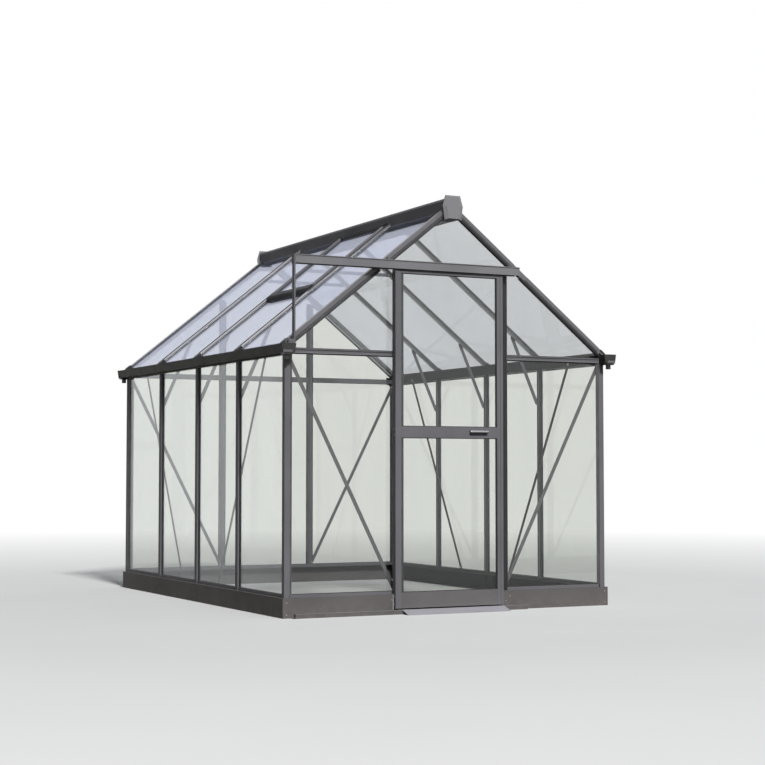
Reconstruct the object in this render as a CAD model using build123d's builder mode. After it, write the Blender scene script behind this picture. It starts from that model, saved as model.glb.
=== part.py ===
from build123d import *
import os
from math import cos, radians, sin, tan

os.makedirs("parts", exist_ok=True)

# Driving dimensions, in millimetres.
# The frame has its origin on the ground at the middle of the whole footprint,
# with X across the front gable, Y towards the back and Z up.

# Plan of the house
bay = 620
side_bays = 4
end_bays = 3
end_margin = 35

# Base plinth of pressed channel
base_height = 100
base_sheet = 2
base_top_flange = 50
base_bottom_flange = 30
base_gap_left = 613
base_gap_right = 1262
splice_length = 110
splice_slot_width = 16
splice_slot_height = 70

# Extruded wall and roof sections
wall_inset = 12
cap_thickness = 3
bar_cap_width = 36
bar_cap_chamfer = 1
bar_lip_thickness = 2
bar_stem_width = 8
bar_seat_width = 30
bar_seat_depth = 14
bar_seat_thickness = 2
bar_web_thickness = 3
bar_channel_width = 14
bar_channel_thickness = 3
frame_depth = 26
corner_leg = 30
corner_core = 22
corner_wall = 2
rafter_face = 30
door_post_width = 52
door_post_core = 24
tube_wall = 2
rail_lip_depth = 3.3
rail_lip_thickness = 2.7

# Heights; the eaves keep their distance below the top of the door
sill_height = 16
eave_below_door_top = 459.5
gable_rail_height = 27.5
top_rail_height = 26

# Roof
roof_pitch = 38.66
roof_foot_rise = 52
roof_toe = 2
glass_toe = 6

# Gutter
gutter_lip_rise = 45
gutter_reach = 27.5
gutter_lean = 7
gutter_wall = 2
gutter_floor = 2.5
drip_lip_height = 10.5
drip_lip_gap = 0.5
gutter_overhang = 50
outlet_bore = 22
outlet_pipe = 27
outlet_setback = 12
outlet_drop = 33
outlet_collar_length = 46
outlet_collar_width = 30
outlet_collar_height = 10
end_cap_thickness = 3
end_cap_border = 2

# Ridge
ridge_half = 45
ridge_skirt = 41
ridge_height = 110
ridge_bevel = 13
ridge_top_half = 36
ridge_wall = 3
ridge_cap_thickness = 18
ridge_cap_half = (50, 60, 43)
ridge_cap_drop = 6
ridge_cap_waist = 74
ridge_cap_height = 131
ridge_cap_chamfer = 6

# Glass and clearances
glass = 4
seat_gap = 0.3
glass_edge_gap = 1
rebate_depth = 12

# Braces
strap_width = 20
strap_thickness = 3
knee_wall_drop = 194.5
knee_roof_x = 203
collar_rise = 582.5
side_brace_top = 322
side_brace_foot = 980
gable_brace_drop = 22.5

# Roof vent
vent_foot_x = 436
vent_rail_width = 34
vent_stile_width = 26
vent_thickness = 24
vent_sill_width = 30
vent_pane_lap = 10

# Door leaf, closed at rest
door_left = 613
door_width = 640
door_bottom_z = 30
door_top_z = 1782
door_face = 28
door_thickness = 22
door_stile_width = 35
door_top_rail = 27
door_mid_rail_z = 904
door_mid_rail = 58
door_kick = 81
handle_length = 110
handle_from_stile = 60
handle_rise = 34
handle_diameter = 12
handle_standoff = 14
handle_foot = 9
handle_round = 2.4

# Door track, rollers and guides
header_face = 42
header_lap = 7.5
header_height = 44.5
header_wall = 2.5
header_right = 1352
shelf_reach = 13
shelf_rise = 14
shelf_lip = 7
roller_diameter = 17
roller_groove_diameter = 13
roller_width = 8
roller_groove_width = 3.5
axle_diameter = 6
hanger_width = 40
hanger_thickness = 3
hanger_face = 22
hanger_inset = 70
track_height = 24
track_depth = 33
track_wall = 2
track_left = 45.5
track_right = 1400
guide_length = 40
guide_thickness = 12
guide_inset = 20
guide_floor_gap = 6
strut_width = 8
strut_front = 42
strut_depth = 25
strut_foot_length = 46
strut_foot_height = 24
strut_foot_thickness = 5
strut_bolt_hole = 7

# Entrance ramp
ramp_left = 650
ramp_width = 605
ramp_reach = 105
ramp_sheet = 2

# Places that follow from the driving dimensions
width = end_bays * bay + 2 * end_margin
length = side_bays * bay + 2 * end_margin
ridge_x = width / 2
left_x = -ridge_x
footprint = ramp_reach + length + gutter_overhang + seat_gap + end_cap_thickness
front_y = ramp_reach - footprint / 2
middle_y = front_y + length / 2
side_lines = [end_margin + bay * n for n in range(1, side_bays)]
end_lines = [end_margin + bay * n for n in range(1, end_bays)]
frame_inner = wall_inset + frame_depth
gutter_inner_wall = frame_inner
brace_plane = frame_inner + seat_gap
bar_side = bar_cap_width / 2 + seat_gap
strap_depth = bar_seat_depth + bar_seat_thickness + seat_gap
brace_depth = strap_depth + strap_width / 2
glass_outer = bar_seat_depth - seat_gap - glass
glass_inner = bar_seat_depth - seat_gap
sill_z = base_height + seat_gap
sill_top_z = sill_z + sill_height
eave_z = door_top_z - eave_below_door_top
roof_foot_z = eave_z + roof_foot_rise
gutter_lip_z = eave_z + gutter_lip_rise
knee_wall_z = eave_z - knee_wall_drop
collar_z = eave_z + collar_rise
gable_brace_top_z = eave_z - gable_brace_drop
wall_top_z = eave_z - seat_gap
handle_z = door_mid_rail_z + handle_rise
rail_middle_z = eave_z + gable_rail_height / 2
pane_edge = bar_stem_width / 2 + glass_edge_gap
corner_pane_edge = wall_inset + corner_core + glass_edge_gap
door_post_pane_edge = door_post_core / 2 + glass_edge_gap
ridge_cut_x = ridge_x - ridge_half - seat_gap
header_back = wall_inset - seat_gap
header_bottom_z = door_top_z - header_lap
header_top_z = header_bottom_z + header_height
shelf_z = header_bottom_z + shelf_rise
top_rail_z = header_top_z - top_rail_height
end_flip = Plane.XZ.offset(-middle_y)
slope = radians(roof_pitch)


# Heights of the roof, x measured from the left face of the base

def roof_z(x):
    return roof_foot_z + x * tan(slope)


def drop(depth):
    return depth / cos(slope)


def roof_x(z, depth):
    return (z - roof_foot_z + drop(depth)) / tan(slope)


ridge_bottom_z = roof_z(ridge_x - ridge_half) - drop(ridge_skirt)
ridge_top_z = ridge_bottom_z + ridge_height
ridge_shoulder_z = ridge_top_z - ridge_bevel


# Work planes: across looks at an X-Z section and extrudes forwards,
# along looks at a Y-Z section and extrudes to the right

def across(y):
    return Plane(origin=(left_x, front_y + y, 0), x_dir=(1, 0, 0), z_dir=(0, -1, 0))


def along(x):
    return Plane(origin=(left_x + x, front_y, 0), x_dir=(0, 1, 0), z_dir=(1, 0, 0))


def plan(z):
    return Plane(origin=(left_x, front_y, z), x_dir=(1, 0, 0), z_dir=(0, 0, 1))


def left_wall(y, z):
    return Plane(origin=(left_x + wall_inset, front_y + y, z), x_dir=(0, 1, 0), z_dir=(0, 0, 1))


def front_wall(x, z):
    return Plane(origin=(left_x + x, front_y + wall_inset, z), x_dir=(-1, 0, 0), z_dir=(0, 0, 1))


def up_slope(x, y):
    rise = (cos(slope), 0, sin(slope))
    return Plane(origin=(left_x + x, front_y + y, roof_z(x)), x_dir=(0, 1, 0), z_dir=rise)


def down_slope(x, y):
    fall = (-cos(slope), 0, -sin(slope))
    return Plane(origin=(left_x + x, front_y + y, roof_z(x)), x_dir=(0, 1, 0), z_dir=fall)


def rect(u0, v0, u1, v1, mode=Mode.ADD):
    with Locations((u0, v0)):
        Rectangle(u1 - u0, v1 - v0, align=(Align.MIN, Align.MIN), mode=mode)


def polygon(points, mode=Mode.ADD):
    with BuildLine() as outline:
        Polyline(*points, close=True)
    make_face(outline.edges(), mode=mode)


# Glazing bar section: outer cap with a lip down to the glass on each side, stem,
# glass seat, web and bolt channel. Local X runs along the wall, local Y points out.

with BuildSketch() as bar_cap:
    rect(-bar_cap_width / 2, -cap_thickness, bar_cap_width / 2, 0)
    chamfer(bar_cap.vertices().group_by(Axis.Y)[-1], bar_cap_chamfer)

with BuildSketch() as bar_lips:
    lip_edge = bar_cap_width / 2
    lip_foot = seat_gap - glass_outer
    rect(-lip_edge, lip_foot, bar_lip_thickness - lip_edge, -cap_thickness)
    rect(lip_edge - bar_lip_thickness, lip_foot, lip_edge, -cap_thickness)

with BuildSketch() as bar_seat:
    rect(-bar_stem_width / 2, -bar_seat_depth, bar_stem_width / 2, -cap_thickness)
    rect(-bar_seat_width / 2, -bar_seat_depth - bar_seat_thickness, bar_seat_width / 2, -bar_seat_depth)

with BuildSketch() as bar_web:
    rect(-bar_web_thickness / 2, -frame_depth, bar_web_thickness / 2, -bar_seat_depth - bar_seat_thickness)
    rect(-bar_channel_width / 2, -frame_depth, bar_channel_width / 2, bar_channel_thickness - frame_depth)

# Corner section: a hollow core with two faces and two glass seats.
# It makes the corner posts and, turned into the slope, the gable rafters.


def corner_section(face_x, face_y):
    seat = bar_seat_depth + bar_seat_thickness
    seat_tip = corner_core + rebate_depth
    with BuildSketch() as section:
        rect(0, 0, corner_core, corner_core)
        rect(cap_thickness, cap_thickness, corner_core - corner_wall, corner_core - corner_wall, Mode.SUBTRACT)
        rect(0, 0, face_x, cap_thickness)
        rect(0, 0, cap_thickness, face_y)
        rect(corner_core, bar_seat_depth, seat_tip, seat)
        rect(bar_seat_depth, corner_core, seat, seat_tip)
    return section.sketch


# Door post section: a wide face, a hollow core and one glass seat

with BuildSketch() as door_post_section:
    half = door_post_width / 2
    core = door_post_core / 2
    rect(-half, -cap_thickness, half, 0)
    rect(-core, -frame_depth, core, -cap_thickness)
    rect(tube_wall - core, tube_wall - frame_depth, core - tube_wall, -cap_thickness, Mode.SUBTRACT)
    rect(core, -bar_seat_depth - bar_seat_thickness, core + rebate_depth, -bar_seat_depth)


# Sill and gable rail sections: a lip outside the glass and a tube inside it,
# joined by a floor. Local X is the depth from the wall face, local Y is up.

with BuildSketch() as sill_section:
    rect(rail_lip_depth, 0, rail_lip_depth + rail_lip_thickness, sill_height)
    rect(rail_lip_depth, 0, frame_depth, tube_wall)
    rect(bar_seat_depth, 0, frame_depth, sill_height)
    rect(bar_seat_depth + tube_wall, tube_wall, frame_depth - tube_wall, sill_height - tube_wall, Mode.SUBTRACT)

with BuildSketch() as gable_rail_section:
    middle = gable_rail_height / 2
    rect(rail_lip_depth, 0, rail_lip_depth + rail_lip_thickness, gable_rail_height)
    rect(rail_lip_depth, middle - tube_wall / 2, bar_seat_depth, middle + tube_wall / 2)
    rect(bar_seat_depth, 0, frame_depth, gable_rail_height)
    rect(
        bar_seat_depth + tube_wall,
        tube_wall,
        frame_depth - tube_wall,
        gable_rail_height - tube_wall,
        Mode.SUBTRACT,
    )


# What the eave, the ridge and the gutter take off the sloping bars

with BuildPart() as roof_trim:
    with BuildSketch(across(length + gutter_overhang)):
        far = gutter_overhang * 4
        low = base_height
        high = ridge_top_z * 2
        seat_underside = bar_seat_depth + bar_seat_thickness + seat_gap / 2
        web_start = gutter_inner_wall + seat_gap
        rect(-far, low, roof_toe, high)
        rect(ridge_cut_x, low, ridge_x + far, high)
        polygon(
            [
                (-far, low),
                (web_start, low),
                (web_start, roof_z(web_start) - drop(seat_underside)),
                (-far, roof_z(-far) - drop(seat_underside)),
            ]
        )
    extrude(amount=length + 2 * gutter_overhang)


# Base plinth, mitred at the corners

def mitre_corner(side):
    reach = base_top_flange * 2
    with BuildSketch(plan(0)) as cut:
        if side:
            polygon([(-reach, -reach + seat_gap), (reach, reach + seat_gap), (reach, -reach)])
        else:
            polygon([(-reach, -reach), (reach, reach), (-reach, reach)])
    extrude(cut.sketch, amount=base_height, mode=Mode.SUBTRACT)


with BuildPart() as base_half:
    with BuildSketch(across(length / 2 - seat_gap)):
        rect(0, 0, base_sheet, base_height)
        rect(0, 0, base_bottom_flange, base_sheet)
        rect(0, base_height - base_sheet, base_top_flange, base_height)
    extrude(amount=length / 2 - seat_gap)
    mitre_corner(True)

with BuildPart() as base_left:
    add(base_half.part)
    mirror(base_half.part, about=end_flip)
base_left.part.label = "base_left"
export_step(base_left.part, "parts/base_left.step")

with BuildPart() as base_right:
    mirror(base_left.part, about=Plane.YZ)
base_right.part.label = "base_right"
export_step(base_right.part, "parts/base_right.step")

with BuildPart() as base_end:
    with BuildSketch(along(0)):
        rect(0, 0, base_sheet, base_height)
        rect(0, 0, base_bottom_flange, base_sheet)
        rect(0, base_height - base_sheet, base_top_flange, base_height)
    extrude(amount=ridge_x)
    mitre_corner(False)
    mirror(about=Plane.YZ)

with BuildPart() as base_back:
    mirror(base_end.part, about=end_flip)
base_back.part.label = "base_back"
export_step(base_back.part, "parts/base_back.step")

with BuildPart() as base_front:
    add(base_end.part)
    with BuildSketch(plan(0)):
        rect(base_gap_left, -base_sheet, base_gap_right, base_top_flange + base_sheet)
        post_x = end_lines[-1]
        slot = door_post_width / 2 + seat_gap
        rect(post_x - slot, wall_inset - seat_gap, post_x + slot, base_top_flange + base_sheet)
    extrude(amount=base_height, mode=Mode.SUBTRACT)
base_front.part.label = "base_front"
export_step(base_front.part, "parts/base_front.step")

# Cleats inside the side channels, with the two long slots that show from inside

with BuildPart() as base_splices:
    with BuildSketch(along(base_sheet + seat_gap)):
        middle = length / 2
        inner = base_height - 2 * base_sheet - 2 * seat_gap
        rect(middle - splice_length / 2, base_sheet + seat_gap, middle + splice_length / 2, base_sheet + seat_gap + inner)
        with Locations(
            (middle - splice_length / 4, base_height / 2),
            (middle + splice_length / 4, base_height / 2),
        ):
            SlotOverall(splice_slot_height, splice_slot_width, rotation=90, mode=Mode.SUBTRACT)
    extrude(amount=base_sheet * 2)
    mirror(about=Plane.YZ)
base_splices.part.label = "base_splices"
export_step(base_splices.part, "parts/base_splices.step")

# Corner posts

with BuildPart() as corner_posts:
    corner = Plane(
        origin=(left_x + wall_inset, front_y + wall_inset, sill_z),
        x_dir=(1, 0, 0),
        z_dir=(0, 0, 1),
    )
    with BuildSketch(corner):
        add(corner_section(corner_leg, corner_leg))
    extrude(amount=wall_top_z - sill_z)
    mirror(about=Plane.YZ)
    mirror(about=end_flip)
corner_posts.part.label = "corner_posts"
export_step(corner_posts.part, "parts/corner_posts.step")

# Door posts, from the ground to the rail behind the door header

with BuildPart() as door_posts:
    with BuildSketch(front_wall(end_lines[0], 0)):
        add(door_post_section.sketch)
    extrude(amount=top_rail_z - seat_gap)
    mirror(about=Plane.YZ)
door_posts.part.label = "door_posts"
export_step(door_posts.part, "parts/door_posts.step")

# Glazing bars of the side walls

with BuildPart() as wall_bars_left:
    for line in side_lines:
        with BuildSketch(left_wall(line, sill_z)):
            add(bar_cap.sketch)
        extrude(amount=wall_top_z - sill_z)
        with BuildSketch(left_wall(line, sill_top_z + seat_gap)):
            add(bar_lips.sketch)
            add(bar_seat.sketch)
            add(bar_web.sketch)
        extrude(amount=wall_top_z - sill_top_z - seat_gap)
wall_bars_left.part.label = "wall_bars_left"
export_step(wall_bars_left.part, "parts/wall_bars_left.step")

with BuildPart() as wall_bars_right:
    mirror(wall_bars_left.part, about=Plane.YZ)
wall_bars_right.part.label = "wall_bars_right"
export_step(wall_bars_right.part, "parts/wall_bars_right.step")

# Bars of the back gable, from the sill to the rafters

with BuildPart() as back_posts_plain:
    back_post_top_z = roof_z(end_lines[0] - bar_cap_width / 2) - drop(rafter_face + seat_gap)
    back_seat_top_z = roof_z(end_lines[0] - bar_seat_width / 2) - drop(corner_core + rebate_depth + seat_gap)
    for line in end_lines:
        with BuildSketch(front_wall(line, sill_z)):
            add(bar_cap.sketch)
        extrude(amount=back_post_top_z - sill_z)
        with BuildSketch(front_wall(line, sill_top_z + seat_gap)):
            add(bar_lips.sketch)
            add(bar_seat.sketch)
            add(bar_web.sketch)
        extrude(amount=back_seat_top_z - sill_top_z - seat_gap)

with BuildPart() as back_posts:
    mirror(back_posts_plain.part, about=end_flip)
back_posts.part.label = "back_posts"
export_step(back_posts.part, "parts/back_posts.step")

# Sill rails on top of the base

sill_start = wall_inset + corner_core + rebate_depth + seat_gap
end_sill_start = max(sill_start, brace_plane)
door_post_seat = door_post_core / 2 + rebate_depth + seat_gap

with BuildPart() as sill_rails_sides:
    side_end = length - sill_start
    section_plane = Plane(
        origin=(left_x + wall_inset, front_y + side_end, sill_z),
        x_dir=(1, 0, 0),
        z_dir=(0, -1, 0),
    )
    with BuildSketch(section_plane):
        add(sill_section.sketch)
    extrude(amount=side_end - sill_start)
    mirror(about=Plane.YZ)
sill_rails_sides.part.label = "sill_rails_sides"
export_step(sill_rails_sides.part, "parts/sill_rails_sides.step")


def end_section(x, z):
    origin = (left_x + x, front_y + wall_inset, z)
    return Plane(origin=origin, x_dir=(0, 1, 0), z_dir=(1, 0, 0))


with BuildPart() as sill_rail_back:
    with BuildSketch(end_section(end_sill_start, sill_z)):
        add(sill_section.sketch)
    extrude(amount=width - 2 * end_sill_start)

with BuildPart() as sill_rails_ends:
    with BuildSketch(end_section(end_sill_start, sill_z)):
        add(sill_section.sketch)
    extrude(amount=end_lines[0] - door_post_seat - end_sill_start)
    mirror(about=Plane.YZ)
    mirror(sill_rail_back.part, about=end_flip)
sill_rails_ends.part.label = "sill_rails_ends"
export_step(sill_rails_ends.part, "parts/sill_rails_ends.step")

# Gutters: trough with an outer wall that leans out, an inner wall that runs up
# under the roof glass, and a drip lip over the tops of the wall bars


def gutter_face(inset, low_z, high_z):
    """The leaning outer wall between two heights, as its four corners."""
    foot_x = gutter_lean - gutter_reach
    return [
        (foot_x + inset, low_z),
        (foot_x + inset + gutter_wall, low_z),
        (inset + gutter_wall - gutter_reach, high_z),
        (inset - gutter_reach, high_z),
    ]


with BuildPart() as gutter_left:
    with BuildSketch(across(length + gutter_overhang)):
        trough_z = eave_z + gutter_floor
        inner_top_z = roof_z(gutter_inner_wall - gutter_wall) - drop(bar_seat_depth + bar_seat_thickness) - seat_gap
        drip = wall_inset - drip_lip_gap
        rect(gutter_lean - gutter_reach, eave_z, gutter_inner_wall, trough_z)
        polygon(gutter_face(0, eave_z, gutter_lip_z))
        rect(gutter_inner_wall - gutter_wall, eave_z, gutter_inner_wall, inner_top_z)
        rect(drip - gutter_wall, eave_z - drip_lip_height, drip, eave_z)
    extrude(amount=length + 2 * gutter_overhang)
    for overhang_end in (header_back, length + gutter_overhang):
        with BuildSketch(across(overhang_end)):
            rect(gutter_inner_wall - gutter_wall, gutter_lip_z, frame_inner, ridge_bottom_z)
            rect(0, base_height, frame_inner, eave_z)
        extrude(amount=gutter_overhang + header_back, mode=Mode.SUBTRACT)
    outlet_x = (gutter_inner_wall - gutter_reach) / 2
    with BuildSketch(plan(eave_z)):
        with Locations((outlet_x, -gutter_overhang + outlet_setback + outlet_bore / 2)):
            Circle(outlet_bore / 2)
        with Locations((outlet_x, length + gutter_overhang - outlet_setback - outlet_bore / 2)):
            Circle(outlet_bore / 2)
    extrude(amount=gutter_floor, mode=Mode.SUBTRACT)
gutter_left.part.label = "gutter_left"
export_step(gutter_left.part, "parts/gutter_left.step")

with BuildPart() as gutter_right:
    mirror(gutter_left.part, about=Plane.YZ)
gutter_right.part.label = "gutter_right"
export_step(gutter_right.part, "parts/gutter_right.step")

# Gutter ends: a cap across the trough with a collar and a short spout below

with BuildPart() as gutter_ends:
    with BuildSketch(across(-gutter_overhang - seat_gap)):
        cap_low_z = eave_z - end_cap_border - seat_gap
        cap_high_z = gutter_lip_z + end_cap_border
        outer_low, _, _, outer_high = gutter_face(-end_cap_border, cap_low_z, cap_high_z)
        polygon(
            [
                outer_low,
                (gutter_inner_wall + end_cap_border, cap_low_z),
                (gutter_inner_wall + end_cap_border + gutter_lean, cap_high_z),
                outer_high,
            ]
        )
    extrude(amount=end_cap_thickness)
    collar_top_z = eave_z - seat_gap
    outlet_y = -gutter_overhang + outlet_setback + outlet_bore / 2
    with BuildSketch(plan(collar_top_z - outlet_collar_height)):
        collar_left = outlet_x - outlet_collar_length / 2
        collar_back = outlet_y + outlet_collar_width / 2
        rect(collar_left, -gutter_overhang - seat_gap, collar_left + outlet_collar_length, collar_back)
    extrude(amount=outlet_collar_height)
    with BuildSketch(plan(eave_z - outlet_drop)):
        with Locations((outlet_x, outlet_y)):
            Circle(outlet_pipe / 2)
    extrude(amount=outlet_drop - outlet_collar_height)
    with BuildSketch(plan(eave_z - outlet_drop)):
        with Locations((outlet_x, outlet_y)):
            Circle(outlet_bore / 2)
    extrude(amount=outlet_drop, mode=Mode.SUBTRACT)
    mirror(about=Plane.YZ)
    mirror(about=end_flip)
gutter_ends.part.label = "gutter_ends"
export_step(gutter_ends.part, "parts/gutter_ends.step")

# Gable rails at the eave, and the rail behind the door header


def gable_rail(x0, x1):
    with BuildSketch(end_section(x0, eave_z)) as section:
        add(gable_rail_section.sketch)
    extrude(section.sketch, amount=x1 - x0)


rail_start = gutter_inner_wall + seat_gap
bar_seat_tip = bar_seat_width / 2 + seat_gap

with BuildPart() as gable_rails_front:
    gable_rail(rail_start, end_lines[0] - door_post_seat)
    mirror(about=Plane.YZ)
    with BuildSketch(across(wall_inset + frame_depth)):
        seat_tip = corner_core + rebate_depth + seat_gap
        rail_low = roof_x(top_rail_z, seat_tip)
        rail_high = roof_x(top_rail_z + top_rail_height, seat_tip)
        polygon(
            [
                (rail_low, top_rail_z),
                (width - rail_low, top_rail_z),
                (width - rail_high, top_rail_z + top_rail_height),
                (rail_high, top_rail_z + top_rail_height),
            ]
        )
    extrude(amount=frame_depth - bar_seat_depth)
    with BuildSketch(across(wall_inset + bar_seat_depth)):
        face_low = roof_x(top_rail_z, seat_tip)
        rect(face_low + rebate_depth, top_rail_z, width - face_low - rebate_depth, top_rail_z + tube_wall)
    extrude(amount=bar_seat_depth - cap_thickness)
    with BuildSketch(across(wall_inset + cap_thickness)):
        face_high = roof_x(top_rail_z + top_rail_height, rafter_face + seat_gap)
        rect(face_high, top_rail_z, width - face_high, top_rail_z + top_rail_height)
    extrude(amount=cap_thickness)
gable_rails_front.part.label = "gable_rails_front"
export_step(gable_rails_front.part, "parts/gable_rails_front.step")

with BuildPart() as gable_rails_back_plain:
    gable_rail(rail_start, end_lines[0] - bar_side)
    gable_rail(end_lines[0] + bar_side, end_lines[1] - bar_side)
    gable_rail(end_lines[1] + bar_side, width - rail_start)

with BuildPart() as gable_rails_back:
    mirror(gable_rails_back_plain.part, about=end_flip)
gable_rails_back.part.label = "gable_rails_back"
export_step(gable_rails_back.part, "parts/gable_rails_back.step")

# Gable rafters and the glazing bars of the roof

slope_length = (ridge_x + gutter_reach * 2) / cos(slope)

with BuildPart() as rafters_front:
    with BuildSketch(down_slope(ridge_x, wall_inset)):
        add(corner_section(corner_leg, rafter_face))
    extrude(amount=slope_length)
    add(roof_trim.part, mode=Mode.SUBTRACT)
    mirror(about=Plane.YZ)
rafters_front.part.label = "rafters_front"
export_step(rafters_front.part, "parts/rafters_front.step")

with BuildPart() as rafters_back:
    mirror(rafters_front.part, about=end_flip)
rafters_back.part.label = "rafters_back"
export_step(rafters_back.part, "parts/rafters_back.step")

with BuildPart() as roof_bars_left:
    for line in side_lines:
        with BuildSketch(up_slope(-2 * gutter_reach, line)):
            add(bar_cap.sketch)
            add(bar_lips.sketch)
            add(bar_seat.sketch)
            add(bar_web.sketch)
        extrude(amount=slope_length)
    add(roof_trim.part, mode=Mode.SUBTRACT)
roof_bars_left.part.label = "roof_bars_left"
export_step(roof_bars_left.part, "parts/roof_bars_left.step")

with BuildPart() as roof_bars_right:
    mirror(roof_bars_left.part, about=Plane.YZ)
roof_bars_right.part.label = "roof_bars_right"
export_step(roof_bars_right.part, "parts/roof_bars_right.step")

# Ridge beam: a hollow section with bevelled shoulders, and its end caps


def ridge_outline(wall):
    half_width = ridge_half - wall
    top_half = ridge_top_half - wall
    return [
        (ridge_x - half_width, ridge_bottom_z + wall),
        (ridge_x + half_width, ridge_bottom_z + wall),
        (ridge_x + half_width, ridge_shoulder_z - wall / 2),
        (ridge_x + top_half, ridge_top_z - wall),
        (ridge_x - top_half, ridge_top_z - wall),
        (ridge_x - half_width, ridge_shoulder_z - wall / 2),
    ]


with BuildPart() as ridge_beam:
    with BuildSketch(across(length)):
        polygon(ridge_outline(0))
        polygon(ridge_outline(ridge_wall), Mode.SUBTRACT)
    extrude(amount=length)
ridge_beam.part.label = "ridge_beam"
export_step(ridge_beam.part, "parts/ridge_beam.step")

with BuildPart() as ridge_caps:
    with BuildSketch(across(-seat_gap)):
        lower, waist, upper = ridge_cap_half
        foot_z = ridge_bottom_z - ridge_cap_drop
        waist_z = foot_z + ridge_cap_waist
        crown_z = foot_z + ridge_cap_height
        polygon(
            [
                (ridge_x - lower, foot_z),
                (ridge_x + lower, foot_z),
                (ridge_x + waist, waist_z),
                (ridge_x + upper, crown_z),
                (ridge_x - upper, crown_z),
                (ridge_x - waist, waist_z),
            ]
        )
    extrude(amount=ridge_cap_thickness)
    chamfer(ridge_caps.faces().sort_by(Axis.Y)[0].edges(), ridge_cap_chamfer)
    mirror(about=end_flip)
ridge_caps.part.label = "ridge_caps"
export_step(ridge_caps.part, "parts/ridge_caps.step")

# Knee braces from the wall bars to the roof bars, and collar ties at the ridge


def strap(x0, z0, x1, z1, y):
    """A flat strap with rounded ends in an X-Z plane, its front face at y."""
    run = ((x1 - x0) ** 2 + (z1 - z0) ** 2) ** 0.5
    origin = (left_x + x0, front_y + y + strap_thickness, z0)
    plane = Plane(origin=origin, x_dir=(x1 - x0, 0, z1 - z0), z_dir=(0, -1, 0))
    with BuildSketch(plane) as outline:
        with Locations((run / 2, 0)):
            SlotCenterToCenter(run, strap_width)
    extrude(outline.sketch, amount=strap_thickness)


web_side = bar_channel_width / 2 + seat_gap

with BuildPart() as knee_braces:
    for line in side_lines:
        knee_roof_z = roof_z(knee_roof_x) - drop(brace_depth)
        strap(wall_inset + brace_depth, knee_wall_z, knee_roof_x, knee_roof_z, line + web_side)
    mirror(about=Plane.YZ)
knee_braces.part.label = "knee_braces"
export_step(knee_braces.part, "parts/knee_braces.step")

with BuildPart() as collar_ties:
    collar_end_x = roof_x(collar_z, brace_depth)
    for line in side_lines:
        strap(collar_end_x, collar_z, width - collar_end_x, collar_z, line - web_side - strap_thickness)
collar_ties.part.label = "collar_ties"
export_step(collar_ties.part, "parts/collar_ties.step")

# Diagonal braces: in the gables just inside the glass seats, between the corner
# post and the next upright; along the side walls on the inner faces of the bars

brace_foot_z = sill_top_z + seat_gap + strap_width / 2
gable_brace_y = wall_inset + strap_depth
gable_brace_top_x = wall_inset + corner_core + seat_gap + strap_width / 2
front_foot_x = end_lines[0] - door_post_core / 2 - seat_gap - strap_width / 2
back_foot_x = end_lines[0] - bar_web_thickness / 2 - seat_gap - strap_width / 2

with BuildPart() as gable_braces_back:
    strap(gable_brace_top_x, gable_brace_top_z, back_foot_x, brace_foot_z, gable_brace_y)
    mirror(about=Plane.YZ)

with BuildPart() as gable_braces:
    strap(gable_brace_top_x, gable_brace_top_z, front_foot_x, brace_foot_z, gable_brace_y)
    mirror(about=Plane.YZ)
    mirror(gable_braces_back.part, about=end_flip)
gable_braces.part.label = "gable_braces"
export_step(gable_braces.part, "parts/gable_braces.step")

with BuildPart() as side_braces:
    brace_top_z = eave_z + gutter_floor + strap_width / 2
    run_y = side_brace_foot - side_brace_top
    run_z = brace_foot_z - brace_top_z
    brace_run = (run_y**2 + run_z**2) ** 0.5
    brace_origin = (left_x + brace_plane, front_y + side_brace_top, brace_top_z)
    with BuildSketch(Plane(origin=brace_origin, x_dir=(0, run_y, run_z), z_dir=(1, 0, 0))):
        with Locations((brace_run / 2, 0)):
            SlotCenterToCenter(brace_run, strap_width)
    extrude(amount=strap_thickness)
    mirror(about=Plane.YZ)
    mirror(about=end_flip)
side_braces.part.label = "side_braces"
export_step(side_braces.part, "parts/side_braces.step")

# Glass of the side walls


def side_pane(y0, y1):
    with BuildSketch(along(wall_inset + glass_outer)) as pane:
        rect(y0, sill_z + tube_wall + seat_gap, y1, wall_top_z)
    extrude(pane.sketch, amount=glass)


side_edges = [corner_pane_edge - pane_edge] + side_lines + [length - corner_pane_edge + pane_edge]

with BuildPart() as glass_left:
    for near, distant in zip(side_edges, side_edges[1:]):
        side_pane(near + pane_edge, distant - pane_edge)
glass_left.part.label = "glass_left"
export_step(glass_left.part, "parts/glass_left.step")

with BuildPart() as glass_right:
    mirror(glass_left.part, about=Plane.YZ)
glass_right.part.label = "glass_right"
export_step(glass_right.part, "parts/glass_right.step")

# Glass of the gables

pane_low_z = sill_z + tube_wall + seat_gap
pane_high_z = rail_middle_z - tube_wall / 2 - seat_gap
upper_pane_z = rail_middle_z + tube_wall / 2 + seat_gap
rafter_pane_depth = corner_core + glass_edge_gap
upper_left_x = gutter_inner_wall + glass_edge_gap
pane_face = wall_inset + glass_inner

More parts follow.
